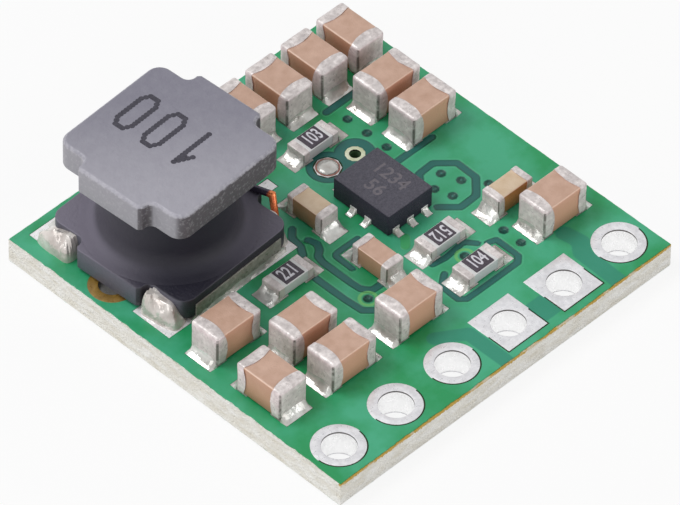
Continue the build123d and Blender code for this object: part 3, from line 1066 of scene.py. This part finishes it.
@dataclass
class BoardCoat:
    """Green coat on both faces, open over every pad, with the copper's gaps showing through."""

    windows: list[Window]
    edge_margin: float = 0.015
    torn_sides: tuple[float, ...] = (0.03, 0.015, 0.015, 0.036)
    border_steps: int = 160
    cell: float = 0.12
    through_size: float = 0.7
    far: float = 9.0
    gaps: tuple[Stripe, ...] = (
        Stripe(
            0.25,
            ((3.75, 0.10), (3.96, 0.35), (4.63, 0.38), (5.19, -0.16), (5.17, -1.03), (4.59, -1.62))
            + ((3.86, -1.64), (3.31, -1.10)),
        ),
        Stripe(0.25, ((3.60, 1.24), (5.45, 1.24))),
        Stripe(0.25, ((3.80, 4.42), (6.90, 4.42))),
        Stripe(
            0.25,
            ((-0.43, -2.27), (-0.80, -2.25), (-1.02, -1.95), (-1.05, -1.57), (-1.06, -0.30))
            + ((-0.98, 0.02), (-0.74, 0.18), (-0.60, 0.44), (-0.68, 0.76)),
        ),
        Stripe(0.25, ((-0.70, 1.46), (-1.00, 1.18), (-1.06, 0.73), (-1.28, 0.40))),
        Stripe(0.25, ((-1.72, -0.55), (-1.71, -1.90), (-1.66, -2.66), (-1.38, -2.94))),
        Stripe(0.2, ((-0.58, -1.15), (-0.57, -0.40), (-0.47, -0.30), (0.50, -0.30))),
        Stripe(0.22, ((1.38, -2.80), (1.90, -2.88), (2.80, -2.78), (3.08, -3.15))),
        Stripe(
            0.22,
            ((1.36, -3.36), (0.90, -3.70), (0.87, -4.44), (1.08, -4.64), (3.40, -4.64), (3.62, -4.44))
            + ((3.64, -3.46), (3.34, -3.36)),
        ),
        Stripe(1.36, ((3.14, 2.44), (3.15, 2.44))),
        Stripe(1.4, ((2.07, 2.62), (2.08, 2.62))),
    )
    clearings: tuple[Stripe, ...] = (
        Stripe(0.62, ((5.40, -4.80), (5.50, -5.40), (5.16, -5.80), (5.08, -8.30))),
        Stripe(0.96, ((2.30, -6.62), (2.80, -6.62))),
        Stripe(0.55, ((-0.90, -5.15), (0.02, -5.75), (0.02, -8.30))),
    )
    pale_traces: tuple[Stripe, ...] = (Stripe(0.3, ((1.62, -1.34), (1.34, -1.62))),)
    ringed_vias: tuple[Point, ...] = ((-1.16, -2.43), (2.39, -3.26))
    ring_radius: float = 0.29
    plain_vias: tuple[Point, ...] = (
        *((4.08, 3.72), (4.08, 2.83), (4.08, 1.94), (4.48, -0.13), (4.73, -0.80)),
        *((4.03, -1.10), (3.83, -0.47), (5.26, -1.53), (4.10, -3.32), (4.10, -4.10)),
    )
    via_radius: float = 0.2

    def build(self) -> None:
        """Make the coat of each face."""
        through = [window for window in self.windows if window.half_x == window.half_y > self.through_size]
        through.sort(key=lambda window: not window.round)
        self.face("coat_upper", self.windows, BOARD_TOP - COAT_DEPTH, True)
        self.face("coat_lower", through, 0.0, False)

    def face(self, name: str, windows: list[Window], floor: float, drawn: bool) -> None:
        """Make one face's coat.

        Args:
            name: name of the piece.
            windows: its openings.
            floor: height of its lower side.
            drawn: whether the copper's gaps show in it.
        """
        curve = bpy.data.curves.new(name, "CURVE")
        curve.dimensions = "2D"
        curve.fill_mode = "BOTH"
        curve.extrude = COAT_DEPTH / 2
        for loop in [self.border()] + [window.loop() for window in windows]:
            spline = curve.splines.new("POLY")
            spline.points.add(len(loop) - 1)
            for point, (x, y) in zip(spline.points, loop):
                point.co = (x, y, 0.0, 1.0)
            spline.use_cyclic_u = True
        bm = mesh_of(curve, MERGE_REACH)
        bmesh.ops.translate(bm, verts=bm.verts[:], vec=(0.0, 0.0, floor + COAT_DEPTH / 2))
        if drawn:
            steps = range(1, int(2 * BOARD_HALF / self.cell))
            for normal, step in itertools.product((Vector((1, 0, 0)), Vector((0, 1, 0))), steps):
                cut(bm, normal * (step * self.cell - BOARD_HALF), normal, dist=0.0001)
        self.mark(finish_piece(bm, name, Look.MASK, flat=True).data, drawn)

    def border(self) -> list[Point]:
        """List the points of the coat's outline, torn a little where the board was sawn.

        Returns:
            The points.
        """
        points = []
        half = BOARD_HALF - self.edge_margin
        corners = [(x * half, y * half) for x, y in SQUARE]
        for torn, (x, y), (far_x, far_y) in zip(self.torn_sides, corners, corners[1:] + corners[:1]):
            inward = Vector((y - far_y, far_x - x, 0.0)).normalized()
            for step in range(self.border_steps):
                share = step / self.border_steps
                place = Vector((x + (far_x - x) * share, y + (far_y - y) * share, 0.0))
                wander = noise.noise(place * 2.1) + 0.8 * noise.noise(place * 7.0)
                depth = torn * max(0.0, 0.5 + wander) * min(1.0, 12.0 * share, 12.0 * (1.0 - share))
                place += inward * depth
                points.append((place.x, place.y))
        return points

    def mark(self, mesh: bpy.types.Mesh, drawn: bool) -> None:
        """Write how far each point lies from the gaps, the vias and the traces.

        Args:
            mesh: the coat.
            drawn: whether anything shows in it.
        """
        points = np.zeros(len(mesh.vertices) * 3)
        mesh.vertices.foreach_get("co", points)
        spots = points.reshape(-1, 3)[:, :2] / MM
        marks = dict.fromkeys(COAT_MARKS, np.full(len(spots), self.far))
        if drawn:
            for label, stripes in (("gap", self.gaps), ("bare", self.clearings), ("pale", self.pale_traces)):
                marks[label] = np.min([stripe.distance(spots) for stripe in stripes], axis=0)
            rounds = (
                ("via", self.plain_vias + self.ringed_vias, self.via_radius),
                ("ring", self.ringed_vias, self.ring_radius),
            )
            for label, places, radius in rounds:
                marks[label] = np.min([np.hypot(*(spots - place).T) for place in places], axis=0) - radius
        for label, values in marks.items():
            layer = mesh.attributes.new(label, "FLOAT", "POINT")
            layer.data.foreach_set("value", values.astype(np.float32))


@dataclass(frozen=True)
class Fillet:
    """Solder that climbs from a pad up a terminal's end face, hollow towards the pad."""

    face: float
    land: Land
    seed: float
    ends: tuple[int, ...] = (-1, 1)
    waves: float = 1.4
    sway: float = 0.3
    across: int = 14
    down: int = 9
    ripple: float = 0.012

    def build(self) -> BMesh:
        """Make the solder and its pads, the chip lying along X with the board's top at zero.

        Returns:
            The bmesh.
        """
        bm = bmesh.new()
        land = self.land
        for end in self.ends:
            made = bmesh.ops.create_grid(bm, x_segments=self.across, y_segments=self.down, size=0.5)["verts"]
            for vertex in made:
                vertex.co = self.spot(end, 2.0 * vertex.co.x, vertex.co.y + 0.5)
            top = set(made)
            rim = [e for e in bm.edges if e.is_boundary and top.issuperset(e.verts)]
            grown = bmesh.ops.extrude_edge_only(bm, edges=rim)["geom"]
            for vertex in grown:
                if isinstance(vertex, BMVert):
                    vertex.co.z = -COAT_DEPTH
            bottom = [e for e in grown if isinstance(e, BMEdge) and e.is_boundary]
            bmesh.ops.contextual_create(bm, geom=bottom)
            size = (self.face - land.inner + 0.02, land.width, COAT_DEPTH + 0.02, 1.0)
            middle = Matrix.Translation((end * (land.inner + self.face) / 2, 0.0, 0.01 - COAT_DEPTH / 2))
            bmesh.ops.create_cube(bm, size=1.0, matrix=middle @ Matrix.Diagonal(size))
        return bm

    def spot(self, end: int, u: float, t: float) -> Vector:
        """Give a point of the fillet's surface.

        Args:
            end: -1 or 1, the end of the chip.
            u: place across the pad, from -1 to 1.
            t: place down the fillet, from 0 to 1.

        Returns:
            The point.
        """
        land = self.land
        turn = t * math.pi / 2
        edge = max(0.0, 1.0 - abs(u) ** 5) ** 0.5
        wobble = 1.0 + self.sway * noise.noise(Vector((u * self.waves, self.seed + end, t * 1.2)))
        hollow = 1.0 - math.sin(turn) ** 0.9
        height = land.climb * edge * wobble * (0.5 * hollow + 0.5 * (1.0 - t))
        reach = self.face + (land.toe - self.face) * (0.5 * (1.0 - math.cos(turn)) + 0.5 * t)
        width = land.width * (0.5 + 0.03 * (1.0 - t))
        ripple = self.ripple * noise.noise(Vector((u * 3.0, t * 3.0, self.seed)))
        return Vector((end * reach, u * width, max(0.0, height + ripple * edge * (1.0 - t))))


@dataclass
class Chip:
    """A two-terminal chip: its ceramic, its end caps and its solder."""

    name: str
    land: Land
    band: float
    bow: float
    ceramic: Look
    edge: float = 0.12
    recess: float = 0.03
    ragged: float = 0.22
    tuck: float = 0.05

    def __post_init__(self) -> None:
        """Read the chip's size and place from its packed end caps."""
        low, high = box_of(f"{self.name}_terminals")
        size = high - low
        self.middle = (low + high) / 2
        self.along = Along.X if size.x > size.y else Along.Y
        self.length = max(size.x, size.y)
        self.width = min(size.x, size.y)
        self.height = size.z
        self.lift = low.z - BOARD_TOP
        self.seed = low.x * 3.1 + low.y * 1.7
        self.place = stand(self.middle.x, self.middle.y, BOARD_TOP, self.along.value)

    def windows(self, margin: float) -> list[Window]:
        """Give the coat's openings over its pads."""
        x, y, _ = self.middle
        return [self.land.window(x, y, self.along.value + turn, margin) for turn in (180.0, 0.0)]

    def build(self) -> None:
        """Make the ceramic, both end caps as one piece, and the solder."""
        self.build_ceramic()
        both = self.cap(-1)
        single = self.cap(1)
        mesh = bpy.data.meshes.new("cap")
        single.to_mesh(mesh)
        single.free()
        both.from_mesh(mesh)
        bpy.data.meshes.remove(mesh)
        finish_piece(both, f"{self.name}_caps", Look.CAP, self.place, f"{self.name}_terminals")
        solder = Fillet(self.length / 2 - 0.006, self.land, self.seed).build()
        finish_piece(solder, f"{self.name}_solder", Look.SOLDER, self.place, "board_solder")

    def build_ceramic(self) -> None:
        """Make the ceramic between the caps."""
        size = (self.length - 2 * self.tuck, self.width - 2 * self.recess, self.height - 2 * self.recess)
        bm = block(size, (0.0, 0.0, self.lift + self.height / 2))
        soften(bm, bm.edges[:], self.edge * 0.5)
        long_edges = [e for e in bm.edges if e.calc_length() > 0.3]
        bmesh.ops.subdivide_edges(bm, edges=long_edges, cuts=5, use_grid_fill=True)
        unsettle(bm, 0.008, 2.5, self.seed)
        finish_piece(bm, f"{self.name}_ceramic", self.ceramic, self.place, f"{self.name}_body")

    def cap(self, side: int) -> BMesh:
        """Make one end cap, whose rim bows towards the chip's middle.

        Args:
            side: -1 or 1, the end that it sits on.

        Returns:
            The cap.
        """
        rim = self.length / 2 - self.band
        bm = block((self.length, self.width, self.height), (0.0, 0.0, self.height / 2))
        soften(bm, bm.edges[:], self.edge, 4)
        long_edges = [e for e in bm.edges if e.calc_length() > 2.2 * self.edge]
        bmesh.ops.subdivide_edges(bm, edges=long_edges, cuts=7, use_grid_fill=True)
        cut(bm, (rim, 0.0, 0.0), (-1.0, 0.0, 0.0), clear_outer=True)
        close(bm)
        for vertex in bm.verts:
            back = 1.0 - (vertex.co.x - rim) / self.band
            y = min(1.0, abs(vertex.co.y) / (self.width / 2))
            z = min(1.0, abs(vertex.co.z - self.height / 2) / (self.height / 2))
            ragged = 1.0 + self.ragged * noise.noise(Vector((y * 2.0, z * 2.0, self.seed + side)))
            vertex.co.x -= self.bow * (1.0 - min(y, z) ** 2) * ragged * max(0.0, back)
        unsettle(bm, 0.016, 2.0, self.seed + side * 5.0)
        if side < 0:
            bmesh.ops.rotate(bm, verts=bm.verts[:], cent=(0, 0, 0), matrix=Matrix.Rotation(math.pi, 3, "Z"))
        bmesh.ops.translate(bm, verts=bm.verts[:], vec=(0.0, 0.0, self.lift))
        return bm


@dataclass
class Resistor(Chip):
    """A thick-film chip resistor: a white base, end caps, and a dark coat with a number."""

    number: str = "103"
    edge: float = 0.045
    recess: float = 0.015
    ragged: float = 0.0
    number_height: float = 0.5
    number_narrowing: float = 0.62
    ink_room: float = 0.006
    coat_depth: float = 0.06
    number_turn: float = 0.0

    def build(self) -> None:
        """Make the chip, its dark coat and a plain number on it."""
        super().build()
        low, high = box_of(f"{self.name}_coat")
        top = high.z - BOARD_TOP - self.ink_room
        bm = block((high.x - low.x, high.y - low.y, self.coat_depth), (0.0, 0.0, top - self.coat_depth / 2))
        bmesh.ops.subdivide_edges(bm, edges=bm.edges[:], cuts=5, use_grid_fill=True)
        soften(bm, sharp_edges(bm), 0.02, 2)
        finish_piece(bm, f"{self.name}_glaze", Look.COAT, self.place, f"{self.name}_coat")
        place = stand(self.middle.x, self.middle.y, high.z - 0.004, self.number_turn)
        place @= Matrix.Diagonal((self.number_narrowing, 1.0, 1.0, 1.0))
        print_number(f"{self.name}_number", self.number, self.number_height, Look.PRINT, place)


@dataclass
class Regulator:
    """The moulded regulator with its leads and their solder."""

    pitch: float = 0.65
    land: Land = Land(-0.4, 0.26, 0.26, 0.2)
    lines: tuple[str, str] = ("1234", "56")
    line_step: float = 0.72
    line_height: float = 0.5

    def seats(self) -> list[tuple[float, float, float]]:
        """List the leads.

        Returns:
            Each lead's place at the package's face, and the way that it points, in degrees.
        """
        low, high = box_of("regulator_body")
        x, y, _ = (low + high) / 2
        found = []
        for side in (-1, 1):
            face_x, face_y = x + side * (high.x - low.x) / 2, y + side * (high.y - low.y) / 2
            found += [(x + place * self.pitch, face_y, side * 90.0) for place in (-1, 0, 1)]
            found += [(face_x, y + place * self.pitch, 90.0 - side * 90.0) for place in (-0.5, 0.5)]
        return found

    def windows(self, margin: float) -> list[Window]:
        """Give the coat's openings over its pads."""
        return [self.land.window(x, y, turn, margin) for x, y, turn in self.seats()]

    def build(self) -> None:
        """Make the pieces."""
        low, high = box_of("regulator_body")
        x, y, _ = middle = (low + high) / 2
        bm = block(tuple(high - low), middle)
        soften(bm, bm.edges[:], 0.04, 3)
        finish_piece(bm, "regulator_moulding", Look.MOULDING, replaces="regulator_body")
        redress("regulator_leads", "regulator_lead_ends", Look.PAD, 0.012)
        for line, digits in enumerate(self.lines):
            place = stand(x, y, high.z, -90.0) @ stand(0.0, (0.5 - line) * self.line_step, 0.0)
            print_number(f"regulator_number_{line + 1}", digits, self.line_height, Look.FAINT, place)
        for number, (x, y, turn) in enumerate(self.seats(), start=1):
            bm = Fillet(0.0, self.land, x + y, (1,)).build()
            place = stand(x, y, BOARD_TOP, turn)
            finish_piece(bm, f"regulator_joint_{number}", Look.SOLDER, place, "board_solder")


@dataclass
class Choke:
    """The drum choke: core, varnished winding, wire ends, feet, solder and its number."""

    turn: float = 3.0
    centre: Point = (-3.86, 3.85)
    land_shift: Point = (-0.16, 0.115)
    cove_reach: float = 0.72
    cove_height: float = 0.75
    cove_steps: int = 12
    wall_depth: float = 0.8
    flare: float = 0.25
    winding_steps: int = 72
    sunk_share: float = 0.2
    sunk_depth: float = 0.12
    wire_reach: float = 2.3
    flange_face: float = 2.95
    lip: float = 0.05
    land: Land = Land(1.535, 3.22, 4.3, 0.24)
    mound_place: Point = (2.5, 1.86)
    mound_ends: Point = (2.87, 1.9)
    mound_sides: Point = (1.5, 3.02)
    mound_height: float = 0.89
    mound_rings: int = 16
    mound_spokes: int = 96
    number: str = "100"
    dot: float = 0.098
    dot_depth: float = 0.004
    dot_step: float = 0.00004
    digit_size: Point = (0.62, 1.66)
    digit_step: float = 1.18
    number_shift: Point = (0.19, 0.45)

    def build(self) -> None:
        """Make the pieces."""
        top = box_of("choke_core")[1].z
        core = copy_of("choke_core", 0.04, 3)
        for vertex in core.verts:
            if vertex.co.z > top - 0.01:
                vertex.co.z = top - 0.006
        finish_piece(core, "choke_drum", Look.FERRITE, replaces="choke_core")
        self.build_winding()
        self.build_wires()
        redress("choke_electrodes", "choke_feet", Look.FOOT, 0.012)
        self.build_solder()
        self.build_number(top)

    def build_wires(self) -> None:
        """Make the wire ends, the left one sunk in the resin."""
        bm = copy_of("choke_wire_ends", 0.035)
        flange_top = box_of("choke_winding")[0].z
        for vertex in bm.verts:
            if vertex.co.x < self.centre[0] and vertex.co.z > flange_top - self.sunk_depth:
                sunk = (vertex.co.z - flange_top) * self.sunk_share
                vertex.co.z = flange_top - self.sunk_depth + min(sunk, self.sunk_depth - 0.02)
            vertex.co.x = max(vertex.co.x, self.centre[0] - self.wire_reach)
        finish_piece(bm, "choke_leads", Look.WIRE, replaces="choke_wire_ends")

    def build_winding(self) -> None:
        """Make the winding, sunk in varnish that rounds out onto the lower flange."""
        low, high = box_of("choke_winding")
        outer = (high.x - low.x) / 2
        points = [(outer - self.wall_depth, low.z)]
        for step in range(self.cove_steps + 1):
            turn = math.pi / 2 * step / self.cove_steps
            rise = low.z + 0.01 + self.cove_height * (1.0 - math.cos(turn))
            points.append((outer + self.cove_reach * (1.0 - math.sin(turn)), rise))
        for step in range(1, self.cove_steps + 1):
            share = step / self.cove_steps
            climb = low.z + self.cove_height + (high.z - low.z - self.cove_height) * share
            points.append((outer + self.flare * share**4, climb))
        points.append((outer - self.wall_depth, high.z))
        bm = bmesh.new()
        verts = [bm.verts.new((x + self.centre[0], self.centre[1], z)) for x, z in points]
        edges = [bm.edges.new(pair) for pair in zip(verts, verts[1:])]
        bmesh.ops.spin(
            bm, geom=verts + edges, cent=(*self.centre, 0.0), axis=(0.0, 0.0, 1.0),
            angle=2 * math.pi, steps=self.winding_steps, use_merge=True,
        )
        merge(bm)
        unsettle(bm, 0.05, 0.9, 4.0)
        finish_piece(bm, "choke_coil", Look.VARNISH, replaces="choke_winding")

    def build_solder(self) -> None:
        """Make a fillet along each foot and a mound in each notch, round the wire's end."""
        place = stand(*self.centre, BOARD_TOP, self.turn)
        for side, name in ((-1, "near"), (1, "far")):
            land = replace(self.land, toe=self.land.toe + side * self.land_shift[1])
            fillet = Fillet(self.flange_face + self.lip - 0.02, land, 7.0 * side, (1,), 9.0, 0.5, 120)
            turned = place @ stand(0.0, 0.0, 0.0, 90.0 * side)
            finish_piece(fillet.build(), f"choke_fillet_{name}", Look.SOLDER, turned, "choke_solder")
            for end, label in ((-1, "left"), (1, "right")):
                mound = self.mound(end, side)
                finish_piece(mound, f"choke_mound_{name}_{label}", Look.HEAP, place, "choke_solder")

    def mound(self, end: int, side: int) -> BMesh:
        """Heap solder on the pad's corner, with the folds in which it ran down.

        Args:
            end: -1 for the left corner, 1 for the right one.
            side: -1 for the near pad, 1 for the far one.

        Returns:
            The mound, in the choke's own frame.
        """
        turns = [2.0 * math.pi * spoke / self.mound_spokes for spoke in range(self.mound_spokes)]
        bm = bmesh.new()
        rings = []
        for ring in range(self.mound_rings + 1):
            share = ring / self.mound_rings
            rings.append([bm.verts.new(self.mound_spot(end, side, share, turn)) for turn in turns])
        for inner, outer in zip(rings, rings[1:]):
            for spoke in range(self.mound_spokes):
                after = (spoke + 1) % self.mound_spokes
                bm.faces.new((inner[spoke], inner[after], outer[after], outer[spoke]))
        bm.faces.new(rings[-1])
        merge(bm)
        return bm

    def mound_spot(self, end: int, side: int, share: float, turn: float) -> Vector:
        """Give a point of a mound's surface.

        Args:
            end: -1 for the left corner, 1 for the right one.
            side: -1 for the near pad, 1 for the far one.
            share: how far out it lies, from 0 to 1.
            turn: its angle round the top.

        Returns:
            The point.
        """
        x, y = self.mound_place
        across, along = math.cos(turn), math.sin(turn)
        half_x = self.mound_ends[0] - x if across > 0 else x - self.mound_ends[1]
        half_y = self.mound_sides[1] - y if along > 0 else y - self.mound_sides[0]
        length = ((abs(across) / half_x) ** 3 + (abs(along) / half_y) ** 3) ** (-1 / 3)
        far_x, far_y = across * length * share, along * length * share
        fold = noise.noise(Vector((far_x * 2.4, far_y * 2.0, 5.0 * end + side)))
        crease = noise.noise(Vector((across * 4.0, along * 4.0, 2.0 * end + side + share)))
        length *= 1.0 + 0.1 * fold * share
        slope = (1.0 - share**3.4) ** 0.65
        uneven = 1.0 + 0.5 * fold * min(1.0, 2.0 * share) + 0.4 * crease * share**2
        height = self.mound_height * slope * uneven * (1.0 - 0.25 * max(0.0, along) * share)
        spot = Vector((end * (x + across * length * share), side * (y + along * length * share), 0.0))
        return spot + Vector((*self.land_shift, min(height, self.mound_height)))

    def build_number(self, top: float) -> None:
        """Mark a plain number in dots on the upper flange.

        Args:
            top: height of the flange.
        """
        digits = {
            "0": ("01110", "10001", "10001", "10001", "10001", "10001", "01110"),
            "1": ("00100", "01100", "10100", "00100", "00100", "00100", "00100"),
        }
        bm = bmesh.new()
        for place, digit in enumerate(self.number):
            lines = enumerate(digits[digit])
            spots = [(c, r) for r, line in lines for c, filled in enumerate(line) if filled == "1"]
            for first, second in itertools.combinations(tuple(spots), 2):
                if max(abs(first[0] - second[0]), abs(first[1] - second[1])) == 1:
                    spots.append(((first[0] + second[0]) / 2, (first[1] + second[1]) / 2))
            for order, (column, row) in enumerate(spots):
                x = (column - 2) * self.digit_size[0] / 4 + (place - 1) * self.digit_step
                spot = Vector((x, (3 - row) * self.digit_size[1] / 6, order * self.dot_step))
                disc(bm, self.dot, self.dot, self.dot_depth, spot, 12)
        x, y = self.centre[0] + self.number_shift[0], self.centre[1] + self.number_shift[1]
        finish_piece(bm, "choke_number", Look.MARK, stand(x, y, top - 0.0045, self.turn + 90.0), flat=True)


@dataclass
class Board:
    """Laminate, plated holes, bare pads, and the coat with its openings."""

    parts: list[Chip | Regulator]
    header_pitch: float = 2.54
    header_y: float = -6.3
    header_window: float = 0.93
    square_places: tuple[int, ...] = (3, 4)
    window_margin: float = 0.015
    choke_pad: Window = Window(-4.02, 3.965, 2.875, 0.83)
    choke_pad_shift: float = 2.365
    test_pad: Window = Window(2.07, 2.62, 0.49, 0.49, True)
    small_pad: Window = Window(0.08, 3.38, 0.26, 0.26)
    bead_size: tuple[float, ...] = (0.36, 0.36, 0.11, 1.0)

    def windows(self) -> list[Window]:
        """List every opening of the upper coat.

        Returns:
            The openings.
        """
        found = []
        half = self.header_window
        for place in range(6):
            x = (place - 2.5) * self.header_pitch
            found.append(Window(x, self.header_y, half, half, place not in self.square_places))
        for node in ("edge_hole_sleeve", "open_via_sleeve"):
            low, high = box_of(node)
            half = (high.x - low.x) / 2
            found.append(Window((low.x + high.x) / 2, (low.y + high.y) / 2, half, half, True))
        pad, margin = self.choke_pad, self.window_margin
        for side in (-1, 1):
            y = pad.y + side * self.choke_pad_shift
            found.append(Window(pad.x, y, pad.half_x + margin, pad.half_y + margin))
        found += [self.test_pad, self.small_pad]
        return found + [window for part in self.parts for window in part.windows(margin)]

    def build(self) -> None:
        """Make the pieces."""
        redress("laminate", "laminate_core", Look.LAMINATE)
        redress("header_sleeves", "header_rings", Look.SLEEVE, 0.012)
        redress("edge_hole_sleeve", "edge_hole_ring", Look.RING, 0.01)
        redress("open_via_sleeve", "open_via_ring", Look.VIA, 0.01)
        redress("solder_pads", "bare_pads", Look.PAD, 0.01)
        BoardCoat(self.windows()).build()
        pad = self.test_pad
        bm = bmesh.new()
        matrix = stand(pad.x, pad.y, BOARD_TOP - 0.005) @ Matrix.Diagonal(self.bead_size)
        bmesh.ops.create_uvsphere(bm, u_segments=32, v_segments=16, radius=1.0, matrix=matrix)
        cut(bm, (0.0, 0.0, BOARD_TOP - 0.01), (0.0, 0.0, 1.0), clear_inner=True)
        close(bm)
        finish_piece(bm, "test_pad_bead", Look.SOLDER, replaces="board_solder")
        bm = bmesh.new()
        disc(bm, 0.42, 0.38, 0.014, Vector((pad.x, pad.y, BOARD_TOP + 0.004)), 48)
        finish_piece(bm, "test_pad_residue", Look.RESIDUE)


# Stage


@dataclass
class Studio:
    """Plain pale floor, soft lamps and the camera at the photograph's angle."""

    azimuth: float = -45.788
    elevation: float = 45.906
    roll: float = 0.991
    distance: float = 0.33929
    lens: float = 560.6
    target: tuple[float, float, float] = (-0.006, -0.017, 0.5)
    floor_grey: float = 0.86
    floor_half: float = 1.5
    floor_depth: float = 0.00002
    sky: float = 0.42
    seen_sky: float = 0.9
    lamp_distance: float = 0.35
    lamps: tuple[tuple[str, tuple[float, float, float], float, float], ...] = (
        ("upper_lamp", (-0.4, 0.55, 1.0), 0.52, 0.16),
        ("left_lamp", (-1.0, 0.1, 0.45), 0.24, 0.2),
        ("near_lamp", (0.25, -1.0, 0.35), 0.27, 0.2),
    )

    def build(self) -> None:
        """Make the stage."""
        self.build_camera()
        self.build_floor()
        self.build_light()

    @staticmethod
    def hang(name: str, data: bpy.types.ID | None) -> bpy.types.Object:
        """Put an object of the stage in the scene.

        Args:
            name: name of the object.
            data: its camera, lamp or mesh.

        Returns:
            The object.
        """
        made = bpy.data.objects.new(name, data)
        bpy.context.scene.collection.objects.link(made)
        return made

    def build_camera(self) -> None:
        """Set the camera as the photograph was taken."""
        az, el, roll = (math.radians(v) for v in (self.azimuth, self.elevation, self.roll))
        back = Vector((math.sin(az) * math.cos(el), -math.cos(az) * math.cos(el), math.sin(el)))
        right = Vector((math.cos(az), math.sin(az), 0.0))
        up = back.cross(right)
        turned_right = math.cos(roll) * right + math.sin(roll) * up
        turned_up = -math.sin(roll) * right + math.cos(roll) * up
        data = bpy.data.cameras.new("camera")
        data.lens = self.lens
        data.sensor_width = 36.0
        data.clip_start = 0.01
        data.clip_end = 10.0
        camera = self.hang("camera", data)
        rotation = Matrix((turned_right, turned_up, back)).transposed()
        place = Vector(self.target) * MM + back * self.distance
        camera.matrix_world = Matrix.Translation(place) @ rotation.to_4x4()
        bpy.context.scene.camera = camera

    def build_floor(self) -> None:
        """Lay a wide pale floor under the board."""
        bm = bmesh.new()
        bmesh.ops.create_grid(bm, x_segments=1, y_segments=1, size=self.floor_half)
        mesh = bpy.data.meshes.new("floor")
        bm.to_mesh(mesh)
        bm.free()
        surface = Surface("pale_floor")
        surface.feed(surface.shader, "Base Color", (*(self.floor_grey,) * 3, 1.0))
        surface.feed(surface.shader, "Roughness", 0.9)
        glow = surface.signal("ShaderNodeEmission", {"Color": (1.0, 1.0, 1.0, 1.0), "Strength": 1.0})
        own = Signal(surface, surface.shader.outputs[0])
        shares = {0: surface.seen() * self.floor_grey, 1: own, 2: glow}
        mixed = surface.signal("ShaderNodeMixShader", shares)
        surface.feed(surface.tree.nodes["Material Output"], "Surface", mixed)
        mesh.materials.append(surface.material)
        floor = self.hang("floor", mesh)
        floor.location.z = -self.floor_depth

    def build_light(self) -> None:
        """Hang soft lamps round the board, under a pale sky."""
        world = bpy.data.worlds.new("sky")
        world.use_nodes = True
        bpy.context.scene.world = world
        graph = Graph(world.node_tree)
        shade = world.node_tree.nodes["Background"]
        graph.feed(shade, "Color", (1.0, 1.0, 1.0, 1.0))
        graph.feed(shade, "Strength", graph.seen() * (self.seen_sky - self.sky) + self.sky)
        for name, direction, power, size in self.lamps:
            data = bpy.data.lights.new(name, "AREA")
            data.energy = power
            data.size = size
            lamp = self.hang(name, data)
            way = Vector(direction).normalized()
            lamp.location = way * self.lamp_distance
            lamp.rotation_mode = "QUATERNION"
            lamp.rotation_quaternion = way.to_track_quat("Z", "Y")


def make_chips() -> list[Chip]:
    """List the board's chips, each with its finish.

    Returns:
        The chips.
    """
    chips = [Chip(f"capacitor_{place}", LARGE_LAND, 0.33, 0.13, Look.BROWN) for place in range(1, 13)]
    for place, look in ((13, Look.YELLOW), (14, Look.YELLOW), (15, Look.BROWN)):
        chips.append(Chip(f"capacitor_{place}", SMALL_LAND, 0.26, 0.035, look, edge=0.075))
    numbers = (("103", 0.0), ("221", 0.0), ("512", 180.0), ("104", 0.0))
    for place, (number, turn) in enumerate(numbers, start=1):
        name = f"resistor_{place}"
        chips.append(
            Resistor(name, RESISTOR_LAND, 0.26, 0.02, Look.WHITE, number=number, number_turn=turn)
        )
    return chips


def main() -> None:
    """Build the board and its stage."""
    logging.basicConfig(level=logging.INFO, format="%(name)s: %(message)s")
    bpy.context.scene.view_settings.view_transform = "Standard"
    chips = make_chips()
    regulator = Regulator()
    Board([*chips, regulator]).build()
    for chip in chips:
        chip.build()
    regulator.build()
    Choke().build()
    Studio().build()


if __name__ == "__main__":
    main()
